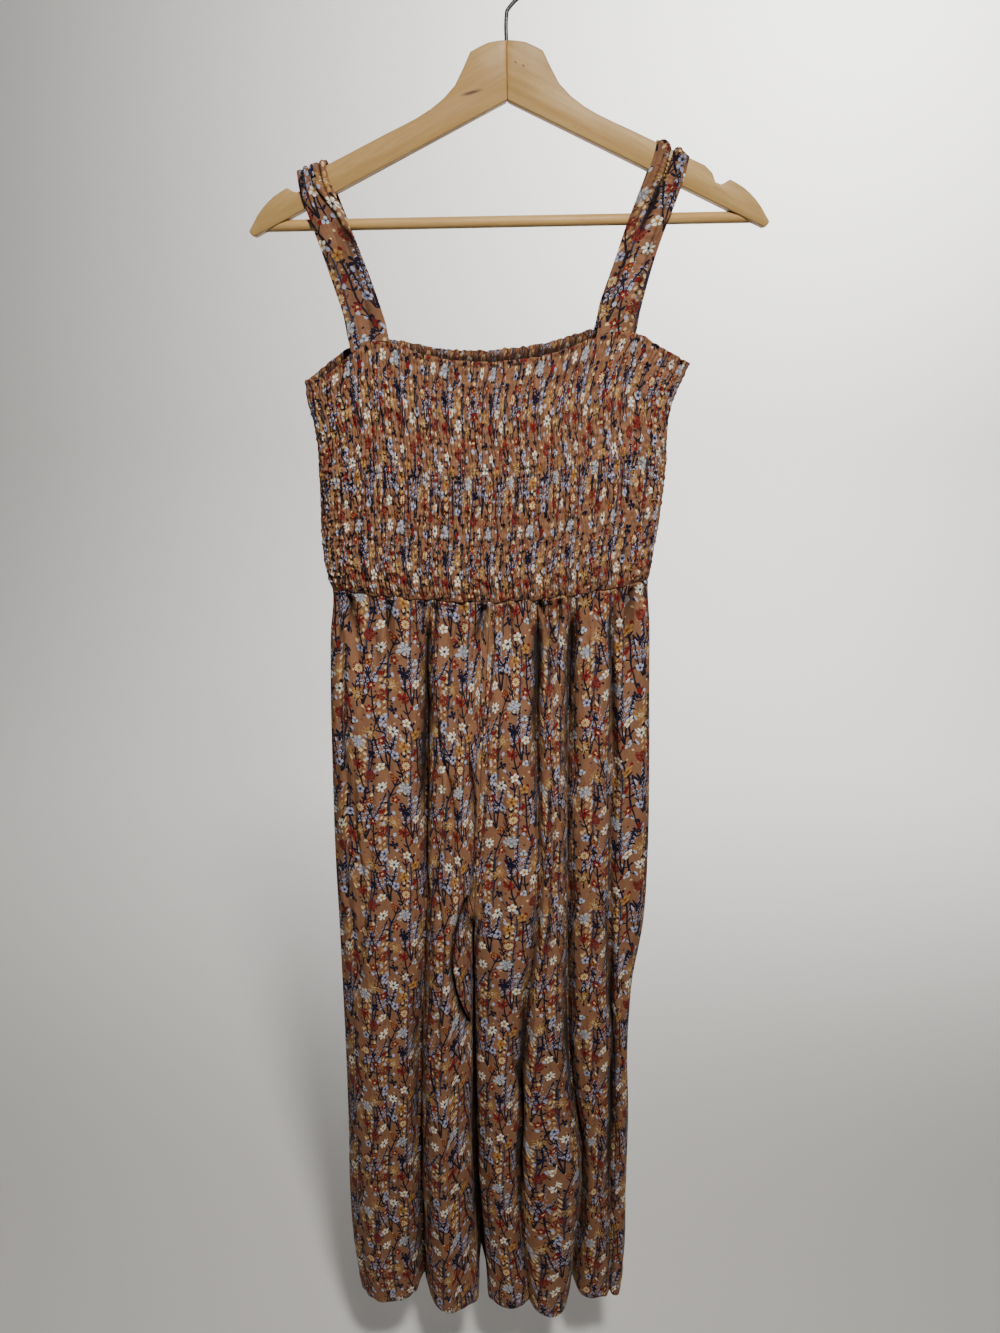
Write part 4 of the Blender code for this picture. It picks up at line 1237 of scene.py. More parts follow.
def flower_spikes(tree, under, place):
    """Fans of three stems, with small flowers up both sides of each."""
    x, y, chance, _ = place
    height = y + SPIKE_FOOT
    slanted = x + (chance - 0.5) * SPIKE_LEAN * height
    slanted += (height * SPIKE_SWAYING).sine() * SPIKE_SWAY
    angle = slanted.made("ARCTAN2", height)
    stem = (angle / SPIKE_FAN).made("ROUND").at_least(-1.0).at_most(1.0)
    run = slanted.away(height)
    off = run * (angle - stem * SPIKE_FAN)
    aside = abs(off)
    length = abs(stem).scaled(-SIDE_SPIKE_SHORTER, SPIKE_LENGTH) + stem * RIGHT_SPIKE_LONGER
    here = run.under(length) * height.over(0.0)
    under = painted(tree, under, DUSK, aside.inside(STEM, SOFT) * here)
    step = (run + off.over(0.0) * (FLORET_STEP / 2) + stem * FLORET_STAGGER) % FLORET_STEP
    slim = (length - run).scaled(SPIKE_TAPER, SPIKE_TIP).at_most(1.0)
    flowering = in_oval(FLORET, aside, step).inside(slim, FLORET_BLUR)
    flowering = flowering * run.over(FLORETS_START) * here
    colour = painted(tree, LAVENDER, SKY, (step * FLORET_SHADING).kept())
    under = painted(tree, under, colour, flowering)
    eye = in_oval(FLORET_EYE, aside, step).inside(1.0, FLORET_EYE_BLUR)
    under = painted(tree, under, DUSK, eye * flowering)
    bud = in_oval(SPIKE_BUD, aside, (run + SPIKE_BUD_LIFT) % FLORET_STEP)
    bud = bud.inside(SPIKE_BUD_SIZE, SOFT)
    return painted(tree, under, NAVY, bud * here * run.over(BUDS_START))


TWIG_REACH = 34.0
TWIG_LEAN = 0.35
TWIG_SWAYING = 0.085
TWIG_SWAY_STARTS = 5.0
SHOOT_STEP = 12.2
SHOOT_START = 2.0
SHOOT_SLOPE = 1.05
SHOOT_REACH = 5.6
TWIG_LEAF_ALONG = (0.64, 0.3)
TWIG_LEAF_ACROSS = (0.27, -1.2)
TWIG_BUD = Oval(5.8, 6.4, 1.7, 2.1)
TWIG_BUD_BLUR = 0.25
TWIG_BUD_SHARES = (0.36, 0.24, 0.16, 0.24)


def twigs(tree, under, place, slope, bend, ink):
    """Long slanting stems with leaves on one side and budded shoots on the other."""
    x, y, chance, pick = place
    off = x + (chance * TWIG_LEAN + slope) * y
    off += (y * TWIG_SWAYING + chance * TWIG_SWAY_STARTS).sine() * bend
    here = abs(y).under(TWIG_REACH)
    under = painted(tree, under, ink, abs(off).inside(STEM, SOFT) * here)
    side = (((y / SHOOT_STEP).floor() % 2.0) * 2.0) - 1.0
    out = off * side
    rise = (y % SHOOT_STEP) - SHOOT_START
    shoot = abs(rise - out * SHOOT_SLOPE).inside(STEM, SOFT)
    shoot = shoot * out.over(0.0) * out.under(SHOOT_REACH)
    under = painted(tree, under, ink, shoot * here)
    leaf = (rise - out).scaled(*TWIG_LEAF_ACROSS).away((rise + out).scaled(*TWIG_LEAF_ALONG))
    under = painted(tree, under, ink, leaf.inside(1.0, SOFT) * here)
    bud = in_oval(TWIG_BUD, out, rise).inside(1.0, TWIG_BUD_BLUR)
    colour = lookup(tree, pick, (ink, WINE, CREAM, SKY), TWIG_BUD_SHARES)
    return painted(tree, under, colour.outputs["Color"], bud * here)


SEED_STEP = 6.8
SEED = Oval(2.3, SEED_STEP / 2, 1.5, 2.0)
SEED_SIZE = 0.9
SEED_LEAN = 0.3
SEED_SWAY = 0.8
SEED_SWAYING = 0.1
SEED_SWAY_STARTS = 6.0
SEED_REACH = 27.0
SEED_STEM_ASIDE = 6.0
SEED_STEM = 0.80
SEED_STEM_REACH = 33.0
SEED_LEAF_STEP = 9.0
SEED_LEAF = Oval(1.6, SEED_LEAF_STEP / 2, 1.4, 0.8)
SEED_LEAF_LIFT = 2.0
SEED_LEAF_LEAN = 1.2
SEED_LEAF_REACH = 30.0


def seed_heads(tree, under, place):
    """Upright sprays of small pale seeds, in two columns, with a thin stem beside them."""
    x, y, chance, _ = place
    sway = x + (y * SEED_SWAYING + chance * SEED_SWAY_STARTS).sine() * SEED_SWAY
    aside = abs(sway - SEED_STEM_ASIDE)
    stem = aside.inside(SEED_STEM, SOFT) * abs(y).under(SEED_STEM_REACH)
    under = painted(tree, under, SLATE, stem)
    height = ((y + SEED_LEAF_LIFT) % SEED_LEAF_STEP) - aside * SEED_LEAF_LEAN
    leaf = in_oval(SEED_LEAF, aside, height)
    leaf = leaf.inside(1.0, SOFT) * abs(y).under(SEED_LEAF_REACH)
    under = painted(tree, under, SLATE, leaf)
    rise = (y + sway.over(0.0) * (SEED_STEP / 2)) % SEED_STEP
    seed = in_oval(SEED, abs(sway) + (rise - SEED_STEP / 2) * SEED_LEAN, rise)
    colour = painted(tree, CREAM, GOLD, (y * 0.5).sine().kept())
    return painted(tree, under, colour, seed.inside(SEED_SIZE, SOFT) * abs(y).under(SEED_REACH))


SPECK_SHARES = (0.16, 0.16, 0.21, 0.35, 0.04, 0.08)
SPECK_COLOURS = (GOLD, CREAM, WINE, NAVY, LAVENDER, AMBER)
SPECK_FLATNESS = 1.3
SPECK_LEAST = 0.6
SPECK_GROWTH = 0.9


def specks(tree, under, place):
    """Single small dots and petals between the flowers."""
    x, y, turn, pick = place
    colour = lookup(tree, pick, SPECK_COLOURS, SPECK_SHARES).outputs["Color"]
    size = turn * SPECK_GROWTH + SPECK_LEAST
    return painted(tree, under, colour, x.away(y * SPECK_FLATNESS).inside(size, SOFT))


# How far the print's edges waver, as on a rough weave, and how fine the waver and the
# stipple of the dotted heads are.
WAVER = 1.2
WAVER_SCALE = 260.0
STIPPLE_SCALE = 560.0
STIPPLE = (4.0, -1.3)
MELANGE = (0.4, -0.02)


def flower_print(tree, cloth):
    """The whole print's colour, over the cloth's own spread in metres."""
    node = tree.nodes.new("ShaderNodeUVMap")
    node.uv_map = "cloth"
    flat = node.outputs[0]
    noise = node_on(tree, "ShaderNodeTexNoise", flat, Scale=WAVER_SCALE, Detail=1.0)
    sway, lift, _ = parts_of(tree, noise.outputs["Color"])
    across, up, _ = sides_of(tree, flat)
    spread = Spread(
        across + sway.scaled(WAVER, -WAVER / 2), up + lift.scaled(WAVER, -WAVER / 2),
        cloth.repeat_width / MM, cloth.repeat_length / MM,
    )
    stipple = node_on(tree, "ShaderNodeTexVoronoi", flat, Scale=STIPPLE_SCALE)
    stipple.voronoi_dimensions = "2D"
    dots = Wire(tree, stipple.outputs["Distance"]).scaled(*STIPPLE).kept()
    colour = painted(tree, tuple(cloth.ground), DUSK, (sway * lift).scaled(*MELANGE))
    colour = specks(tree, colour, scattered(tree, spread, SPECK_CELLS))
    place = scattered(tree, spread, TWIG_CELLS)
    colour = twigs(tree, colour, place, slope=-0.24, bend=3.0, ink=NAVY)
    colour = seed_heads(tree, colour, scattered(tree, spread, SEED_CELLS))
    colour = flower_spikes(tree, colour, scattered(tree, spread, SPIKE_CELLS))
    place = scattered(tree, spread, MORE_TWIG_CELLS)
    colour = twigs(tree, colour, place, slope=0.05, bend=2.4, ink=DUSK)
    colour = flowers(tree, colour, charted(tree, spread, MORE_HEADS, 0.5), dots)
    colour = flowers(tree, colour, charted(tree, spread, HEADS, 0.0), dots)
    return colour, flat


# ---------------------------------------------------------------- finishes
def new_finish(name, **constants):
    """A new material, with constants set on its shader's sockets."""
    material = bpy.data.materials.new(name)
    material.use_nodes = True
    surface = material.node_tree.nodes["Principled BSDF"]
    for socket, value in constants.items():
        surface.inputs[socket.replace("_", " ")].default_value = value
    return material, material.node_tree, surface


def raised(tree, surface, height, strength, distance):
    """A bump from a height, under the surface's shading."""
    node = tree.nodes.new("ShaderNodeBump")
    node.inputs["Strength"].default_value = strength
    node.inputs["Distance"].default_value = distance
    tree.links.new(height.socket, node.inputs["Height"])
    tree.links.new(node.outputs[0], surface.inputs["Normal"])


def object_place(tree):
    return tree.nodes.new("ShaderNodeTexCoord").outputs["Object"]


def darker(colour, share):
    return tuple(channel * share for channel in colour)


CREPE_SCALE = 900.0
CREPE_SHARE = 0.2
CRINKLE_SCALE = (190.0, 34.0, 1.0)
CLOTH_BUMP = 0.0022
WRONG_SIDE_FADING = 0.35


def printed_cloth(name, cloth, faded):
    """The printed viscose: its right side, or its paler wrong side, each with painted shade."""
    material, tree, surface = new_finish(
        name, Roughness=0.82, Specular_IOR_Level=0.14, Sheen_Weight=0.03, Sheen_Roughness=0.4
    )
    colour, spread = flower_print(tree, cloth)
    crepe = noise_of(tree, spread, CREPE_SCALE, 2.0)
    pulled = node_on(tree, "ShaderNodeMapping", spread, Scale=CRINKLE_SCALE)
    crinkle = noise_of(tree, pulled.outputs[0], 1.0, 2.0, 0.6)
    if faded:
        colour = painted(tree, colour, darker(cloth.ground, 0.5), faded)
    # Painted shade: the fold attribute darkens the right side in folds and creases, and the inside
    # attribute darkens the wrong side below a band's top edge.
    fold = tree.nodes.new("ShaderNodeAttribute")
    fold.attribute_name = "inside" if faded else "fold"
    colour = painted(tree, colour, PAINTED_SHADE_COLOUR, Wire(tree, fold.outputs["Fac"]) * FOLD_DARKNESS)
    tree.links.new(colour, surface.inputs["Base Color"])
    raised(tree, surface, crepe * CREPE_SHARE + crinkle, 1.0, CLOTH_BUMP)
    return material


TWIST_SCALE = 2500.0
THREAD_SHADE = 0.55
THREAD_BUMP = 0.0002


def sewing_thread(name, cloth):
    material, tree, surface = new_finish(name, Roughness=0.6)
    twist = noise_of(tree, object_place(tree), TWIST_SCALE, 1.0)
    colour = painted(tree, tuple(cloth.thread), darker(cloth.thread, THREAD_SHADE), twist)
    tree.links.new(colour, surface.inputs["Base Color"])
    raised(tree, surface, twist, 0.3, THREAD_BUMP)
    return material


Knot = namedtuple("Knot", "x z slope half_length half_width")
GRAIN_STRETCH = 14.0
BROAD_GRAIN = 95.0
BROAD_MARKS = (1.7, -0.45)
FIBRES = 520.0
FIBRE_MARKS = (2.6, -1.0)
FIBRE_INK = 0.62
PORES = 2600.0
PORE_MARKS = (9.0, -5.9)
PORE_SHADE = 0.45
PORE_INK = 0.45
PORE_DEPTH = 0.8
DEEP_GRAIN = (0.66, 0.56, 0.42)
LIGHT_GRAIN = (1.10, 1.12, 1.18)
KNOT_INK = (0.07, 0.032, 0.015)
KNOT_WANDER = 3.0
KNOT_SIZE = 0.8
KNOT_BLUR = 0.8
KNOT_SHARE = 0.88
WOOD_BUMP = 0.0003


def wood(name, base, slope, knots=()):
    """Pale wood with its grain along a piece that rises by that slope, in degrees."""
    material, tree, surface = new_finish(
        name, Roughness=0.50, Specular_IOR_Level=0.3, Coat_Weight=0.04, Coat_Roughness=0.3
    )
    place = object_place(tree)
    along = node_on(
        tree, "ShaderNodeMapping", place,
        Rotation=(0.0, math.radians(-slope), 0.0), Scale=(GRAIN_STRETCH, 1.0, 1.0),
    )
    along.vector_type = "TEXTURE"
    broad = noise_of(tree, along.outputs[0], BROAD_GRAIN, 3.0, 0.5)
    fibre = noise_of(tree, along.outputs[0], FIBRES, 4.0, 0.75)
    pores = noise_of(tree, along.outputs[0], PORES, 2.0, 0.5)
    deep = tuple(c * share for c, share in zip(base, DEEP_GRAIN))
    light = tuple(min(1.0, c * share) for c, share in zip(base, LIGHT_GRAIN))
    colour = painted(tree, light, deep, broad.scaled(*BROAD_MARKS).kept())
    colour = painted(tree, colour, deep, fibre.scaled(*FIBRE_MARKS).kept() * FIBRE_INK)
    marks = pores.scaled(*PORE_MARKS).kept()
    colour = painted(tree, colour, darker(deep, PORE_SHADE), marks * PORE_INK)
    x, _, z = sides_of(tree, place)
    for knot in knots:
        turn = math.radians(knot.slope)
        dx, dz = x - knot.x, z - knot.z
        run = dx * math.cos(turn) + dz * math.sin(turn)
        off = dz * math.cos(turn) - dx * math.sin(turn) + (broad - 0.5) * KNOT_WANDER
        away = (run / knot.half_length).away(off / knot.half_width)
        there = away.inside(KNOT_SIZE, KNOT_BLUR)
        colour = painted(tree, colour, KNOT_INK, there * KNOT_SHARE)
    tree.links.new(colour, surface.inputs["Base Color"])
    raised(tree, surface, fibre + marks * -PORE_DEPTH, 0.25, WOOD_BUMP)
    return material


DRAWN_SCALE = 700.0
WIRE_SHADE = 0.6
WIRE_ROUGHNESS = (0.22, 0.14)
WIRE_BUMP = 0.0002


def plated_wire(base):
    material, tree, surface = new_finish("plated wire", Metallic=1.0)
    drawn = noise_of(tree, object_place(tree), DRAWN_SCALE)
    colour = painted(tree, tuple(base), darker(base, WIRE_SHADE), drawn)
    tree.links.new(colour, surface.inputs["Base Color"])
    tree.links.new(drawn.scaled(*WIRE_ROUGHNESS).socket, surface.inputs["Roughness"])
    raised(tree, surface, drawn, 0.1, WIRE_BUMP)
    return material


PAPER_SCALE = 1.4
PAPER_SHADE = 0.96


def backdrop_paper(base):
    material, tree, surface = new_finish("backdrop paper", Roughness=0.9)
    tone = noise_of(tree, object_place(tree), PAPER_SCALE, 2.0)
    colour = painted(tree, tuple(base), darker(base, PAPER_SHADE), tone)
    tree.links.new(colour, surface.inputs["Base Color"])
    return material


def shared_finish(name, make, *details):
    """A finish that is made once and shared by the pieces that need it."""
    return bpy.data.materials.get(name) or make(name, *details)


def cloth_finishes(cloth):
    """The cloth's right side and its wrong side."""
    return (
        shared_finish("printed cloth", printed_cloth, cloth, 0.0),
        shared_finish("printed cloth wrong side", printed_cloth, cloth, WRONG_SIDE_FADING),
    )


def thread_finish(cloth):
    return shared_finish("sewing thread", sewing_thread, cloth)


# ---------------------------------------------------------------- the operators
def in_body(slot, *pieces):
    """Puts pieces in the one body there is; the slot is not used."""
    for piece in pieces:
        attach(piece, "root")


Band = namedtuple("Band", "name face top seed start")
BANDS = (
    Band("bodice_front", -1, FRONT_TOP, 11, (0.0, 0.0)),
    Band("bodice_back", 1, BACK_TOP, 12, (37.0, 22.0)),
)
BAND_FLAT = (0.80, 0.24)
BAND_STRETCH = 1.04
HEADING_CRUMPLE = 0.5
# Painted shade on a band's wrong side: it starts this many millimetres below the top edge and is full
# this many millimetres further down.
INSIDE_START = 1.5
INSIDE_SHADE = 9.0
ELASTIC_STITCH = (2.0, 0.34)
ELASTIC_LIFT = 0.25


class JUMPSUIT_OT_smocked_bands(bpy.types.Operator):
    """Makes the smocked front and back, each with its rows of elastic stitches"""

    bl_idname = "jumpsuit.smocked_bands"
    bl_label = "Smocked bands"

    def execute(self, context):
        cloth = context.scene.jumpsuit_cloth
        for band in BANDS:
            self.make_band(cloth, band)
        return {"FINISHED"}

    def make_band(self, cloth, band):
        rng = np.random.default_rng(band.seed)
        height = edge_height(band.top, 0.0) - edge_height(WAIST, 0.0)
        shares, elastic = shirring_shares(cloth.shirring, height)
        columns = cloth.ridges * STEPS_A_RIDGE + 1
        form = band_sheet(band.face, band.top, even_turns(columns), shares)
        normals = outward(form, (0.0, band.face, 0.0))
        normals[:, 0] = (-1.0, 0.0, 0.0)
        normals[:, -1] = (1.0, 0.0, 0.0)
        above = (1 - shares) * height
        near = 1 - ease(above / SEAM_PULL)
        relief = smocking(rng, cloth.ridges, shares, elastic) * cloth.ridge_height / MM
        side = ease(steps_in(columns) / STEPS_A_RIDGE / SIDE_RIDGES)
        relief *= SIDE_PINCH + (1 - SIDE_PINCH) * side[None, :]
        relief *= 1 - FOOT_PINCH * (1 - ease(above / FOOT_TAPER))[:, None]
        relief -= SEAM_SINK * near[:, None]
        points = form + normals * relief[:, :, None]
        points[:, :, 2] += seam_sway(points[:, :, 0]) * near[:, None]
        heading = wandering(rng, (HEADING_STEPS, columns), (1, cloth.ridges))
        points[:HEADING_STEPS, :, 2] += HEADING_CRUMPLE * heading
        # Painted shade on the band's wrong side, darker further below its top edge, carried by the
        # inside attribute.
        inside = ease((shares * height - INSIDE_START) / INSIDE_SHADE)
        across = hidden_cloth(rng, cloth.ridges, BAND_FLAT[0] / MM)
        flat = np.stack(np.meshgrid(across, -shares * height * BAND_STRETCH), axis=2)
        piece = shell(
            band.name + "_cloth", points, (flat + np.array(band.start)) * MM, cloth.thickness,
            cloth_finishes(cloth), (0, band.face, 0), inside=np.repeat(inside[:, None], columns, axis=1),
        )
        stitches = self.elastic_stitches(cloth, band, points, normals, elastic)
        in_body("printed_cloth", piece, stitches)
        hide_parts(band.name)

    def elastic_stitches(self, cloth, band, points, normals, elastic):
        """A short stitch over each ridge, along every row of elastic thread."""
        crests = np.arange(STEPS_A_RIDGE // 2, points.shape[1] - 1, STEPS_A_RIDGE)
        lines = []
        for row in elastic:
            places = points[row, crests] + normals[row, crests] * ELASTIC_LIFT
            along = points[row, crests + 1] - points[row, crests - 1]
            lines.append((places, along, normals[row, crests]))
        return sewing(band.name + "_elastic", lines, *ELASTIC_STITCH, thread_finish(cloth))


# Side is -1 for the left leg and face -1 for the front, as in the solids.
Leg = namedtuple("Leg", "name side face lines lobes gathers creases seed start flat")
LEGS = (
    Leg("leg_front_left", -1, -1, FRONT_LEFT_LINES, FRONT_LEFT_LOBES, FRONT_GATHERS,
        FRONT_CREASES, 21, (20.0, 40.0), (0.25, 0.88)),
    Leg("leg_front_right", 1, -1, FRONT_RIGHT_LINES, FRONT_RIGHT_LOBES, FRONT_GATHERS,
        FRONT_CREASES, 22, (61.0, 96.0), (0.33, 0.88)),
    Leg("leg_back_left", -1, 1, BACK_LEFT_LINES, BACK_LEFT_LOBES, BACK_GATHERS,
        BACK_CREASES, 23, (5.0, 12.0), (0.19, 0.88)),
    Leg("leg_back_right", 1, 1, BACK_RIGHT_LINES, BACK_RIGHT_LOBES, BACK_GATHERS,
        BACK_CREASES, 24, (44.0, 70.0), (0.22, 0.88)),
)
EDGE_COLUMNS = 6.0
SIDE_STEP = 3.3
CREASE_REACH = 30.0
FOLD_ROOM = 10.0
FOLD_LIMIT = 3.0
SLIT_HELD = 0.1
SLIT_REACH = 45.0
PUCKER_CLEAR = 5.0
CRUMPLE = 0.50
CRUMPLE_GRID = (60, 26)
SWELL = 0.8
SWELL_GRID = (9, 9)
SWELL_REACH = 80.0
# How the painted shade in a leg's folds is weighed: puckers and creases against the deep folds, how deep
# a fold is fully shaded, how the shade narrows to the deepest part, and how soft its edge is behind the
# other leg.
PUCKER_SHADE = 1.1
CREASE_SHADE = 0.7
FOLD_SHADE = 10.8
FOLD_NARROWING = 2.3
OVERLAP_BLEND = 2.0
HEM_STITCH_PITCH = 3.0
HEM_STITCH_LIFT = 0.05
HEM_THREAD = (2.4, 0.5)


def leg_normals(leg, form):
    """A leg panel's outward normals, which lie along the cloth's plane at its two edges."""
    normals = outward(form, (0.0, leg.face, 0.0))
    outer, inner = (0, -1) if leg.side < 0 else (-1, 0)
    normals[:, outer] = (leg.side, 0.0, 0.0)
    closed = shut(form[:, inner, 2])
    normals[:, inner] = np.stack(
        [-leg.side * closed, leg.face * (1 - closed), np.zeros(len(closed))], axis=1
    )
    return unit(normals)


def leg_folds(rng, leg, form, below):
    """How far a leg panel's cloth sinks in its creases, its deep folds and its puckers."""
    room = np.clip(np.abs(form[:, :, 1]) / FOLD_ROOM, 0.0, 1.0)
    soft = creases(form, leg.creases) * ease(below / CREASE_REACH) * room
    deep = slits(form, leg.lines) * (SLIT_HELD + (1 - SLIT_HELD) * ease(below / SLIT_REACH))
    if leg.face < 0:
        deep += bows(form)
    deep = np.minimum(deep, np.maximum(leg.face * form[:, :, 1] + FOLD_LIMIT, 0.0))
    short = puckers(rng, form[:, :, 0], below) * room
    return soft, deep, short * (1 - ease(deep / PUCKER_CLEAR))


def leg_shade(leg, form, free, soft, deep, short):
    """How much painted shade each point gets: in its folds, and where it lies behind the other leg's
    edge.
    """
    sunk = (deep + PUCKER_SHADE * short + CREASE_SHADE * soft) * free
    past = leg.side * (inner_edge(leg.side, form[:, :, 2]) - form[:, :, 0])
    behind = ease(past / OVERLAP_BLEND + 0.5) * shut(form[:, :, 2])
    return np.maximum(np.clip(sunk / FOLD_SHADE, 0, 1) ** FOLD_NARROWING, behind)


class JUMPSUIT_OT_legs(bpy.types.Operator):
    """Makes the four leg panels, with their folds, creases, gathers and stitched hems"""

    bl_idname = "jumpsuit.legs"
    bl_label = "Legs"

    def execute(self, context):
        cloth = context.scene.jumpsuit_cloth
        for leg in LEGS:
            self.make_leg(cloth, leg)
        return {"FINISHED"}

    def make_leg(self, cloth, leg):
        rng = np.random.default_rng(leg.seed)
        even = np.linspace(0.0, 1.0, LEG_ROWS + 1)
        down = even * (1 - LEG_ROW_CROWDING) + even**2 * LEG_ROW_CROWDING
        levels = WAIST_LEVEL + (HEM - WAIST_LEVEL) * down
        form, below = leg_sheet(leg, levels)
        columns = form.shape[1]
        limit = SEAM_GAP / 2 + SIDE_STEP * np.arange(columns)[::-leg.side]
        form[:, :, 1] = np.clip(form[:, :, 1], -limit, limit)
        normals = leg_normals(leg, form)
        near = 1 - ease(below / SEAM_PULL)
        free = ease(steps_in(columns) / EDGE_COLUMNS)[None, :]
        soft, deep, short = leg_folds(rng, leg, form, below)
        relief = -soft - short
        relief += CRUMPLE * wandering(rng, relief.shape, CRUMPLE_GRID)
        relief += SWELL * wandering(rng, relief.shape, SWELL_GRID) * ease(below / SWELL_REACH)
        relief = relief * free + hem_relief(form[:, :, 2] - HEM) - SEAM_SINK * near
        points = form + normals * relief[:, :, None]
        points[:, :, 1] -= leg.face * deep * free
        points[:, :, 2] += seam_sway(points[:, :, 0]) * near
        # The fold attribute carries the leg's painted shade into the cloth's colour.
        piece = shell(
            leg.name + "_cloth", points, spread_print(points, leg.start), cloth.thickness,
            cloth_finishes(cloth), (0, leg.face, 0),
            fold=leg_shade(leg, form, free, soft, deep, short),
        )
        stitches = self.hem_stitches(cloth, leg, points, normals)
        in_body("printed_cloth", piece, stitches)
        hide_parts(leg.name)

    def hem_stitches(self, cloth, leg, points, normals):
        """One row of stitches round the hem."""
        heights = points[:, :, 2] - HEM
        row = int(np.argmin(np.abs(heights[:, heights.shape[1] // 2] - HEM_STITCH)))
        lift = cloth.thickness / MM / 2 + HEM_STITCH_LIFT
        line = stitched(points[row], normals[row], lift, HEM_STITCH_PITCH)
        return sewing(leg.name + "_hem_stitches", [line], *HEM_THREAD, thread_finish(cloth))


Strap = namedtuple("Strap", "name stations tucks seed start flat wrinkled")
STRAPS = (
    Strap("strap_left", LEFT_STRAP, LEFT_TUCKS, 31, (12.0, 30.0), (0.035, 0.32), 0.15),
    Strap("strap_right", RIGHT_STRAP, RIGHT_TUCKS, 32, (58.0, 81.0), (0.035, 0.32), 0.5),
)
STRAP_THICK = 1.1
STRAP_EDGE = 3.0
STRAP_EDGE_GROOVE = 0.3
STRAP_EDGE_GROOVE_WIDTH = 0.9
STRAP_ENDS = 0.5
# Painted shade on the straps: a share laid all over them, and more where their tucks and wrinkles sink
# the cloth.
STRAP_SHADE = 0.22
STRAP_FOLD_SHADE = 3.0
STRAP_CRUMPLE = 0.35
STRAP_CRUMPLE_GRID = (26, 4)
PLEAT_TURN = 30.0
PLEAT_WANDER = 3.0
PLEAT_GRID = (40, 3)
PLEAT_MARGIN = 0.22
PLEAT_START = 0.4
STRAP_STITCH_PITCH = 3.0
STRAP_UNSEWN_ROWS = 4
STRAP_THREAD = (2.3, 0.45)


def strap_relief(rng, strap, at, across):
    """How far a strap's cloth stands or sinks: tucks, wrinkles and the grooves of its seams."""
    beside = np.minimum(across, 1 - across)
    relief = tucks(strap.tucks, at, across)
    relief += STRAP_CRUMPLE * wandering(rng, relief.shape, STRAP_CRUMPLE_GRID)
    wander = PLEAT_WANDER * wandering(rng, relief.shape, PLEAT_GRID)
    middle = ease(beside / PLEAT_MARGIN - PLEAT_START)[None, :]
    relief += strap.wrinkled * np.sin(at[:, None] * PLEAT_TURN + wander) * middle
    ends = ease(np.minimum(at, at[-1] - at) / STRAP_ENDS)[:, None]
    groove = bump(beside * STRAP_WIDTH - STRAP_EDGE, STRAP_EDGE_GROOVE_WIDTH)[None, :]
    return relief * ends - STRAP_EDGE_GROOVE * groove


class JUMPSUIT_OT_straps(bpy.types.Operator):
    """Makes the two folded straps that lie over the hanger, with their edge stitches"""

    bl_idname = "jumpsuit.straps"
    bl_label = "Straps"

    def execute(self, context):
        cloth = context.scene.jumpsuit_cloth
        for strap in STRAPS:
            self.make_strap(cloth, strap)
        return {"FINISHED"}

    def make_strap(self, cloth, strap):
        rng = np.random.default_rng(strap.seed)
        form = strap_sheet(strap.stations)
        normals = outward(form, (0.0, 0.0, 1.0))
        at = np.arange(form.shape[0]) / STRAP_ROWS_A_STATION
        relief = strap_relief(rng, strap, at, np.arange(STRAP_COLUMNS + 1) / STRAP_COLUMNS)
        points = form + normals * relief[:, :, None]
        spread = spread_print(form, strap.start)
        spread[:, :, 1] *= -1
        # The fold attribute carries the strap's painted shade into the cloth's colour.
        piece = shell(
            strap.name + "_cloth", points, spread, STRAP_THICK * MM, cloth_finishes(cloth)[:1],
            (0, 0, 1), fold=np.clip(STRAP_SHADE - relief / STRAP_FOLD_SHADE, 0.0, 1.0),
        )
        stitches = self.edge_stitches(cloth, strap, points, normals)
        in_body("printed_cloth", piece, stitches)
        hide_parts(strap.name)

    def edge_stitches(self, cloth, strap, points, normals):
        """A row of stitches inside each long edge."""
        inset = round(STRAP_EDGE / STRAP_WIDTH * STRAP_COLUMNS)
        sewn = slice(STRAP_UNSEWN_ROWS, -STRAP_UNSEWN_ROWS)
        lines = [
            stitched(points[sewn, column], normals[sewn, column], STRAP_THICK / 2, STRAP_STITCH_PITCH)
            for column in (inset, STRAP_COLUMNS - inset)
        ]
        return sewing(strap.name + "_edge_stitches", lines, *STRAP_THREAD, thread_finish(cloth))


def hanger_turn():
    """From the hanger's own level frame to the tilt at which it hangs."""
    pivot = Matrix.Translation((0.0, 0.0, HANGER_TOP * MM))
    tilt = Matrix.Rotation(-HANGER_TILT, 4, "Y")
    return pivot @ tilt @ pivot.inverted()


def finished_wood(bm, name, sharp, finish, node):
    """A piece of the hanger from its bmesh: smooth, but for edges sharper than an angle."""
    mesh = mesh_of(bm, name)
    mesh.shade_smooth()
    mesh.set_sharp_from_angle(angle=math.radians(sharp))
    mesh.materials.append(finish)
    piece = placed(name, mesh)
    in_body("hanger_wood", piece)
    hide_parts(node)


Arm = namedtuple("Arm", "side grain tone knots")
ARMS = (
    Arm("left", 27.0, 1.0, (Knot(-28.7, -105.6, 13.7, 9.5, 1.5),)),
    Arm("right", -25.0, 0.97, (Knot(14.0, -86.5, -35.0, 1.6, 0.6), Knot(7.5, -84.0, -35.0, 1.8, 0.5))),
)
MITRE_REACH = 0.3
MITRE_CLOSING = 0.15
ARM_SHARP = 35.0
BAR_CHAMFER = 0.6
BAR_SIDES = 40
BAR_GRAIN = 1.0
BAR_SHARP = 50.0


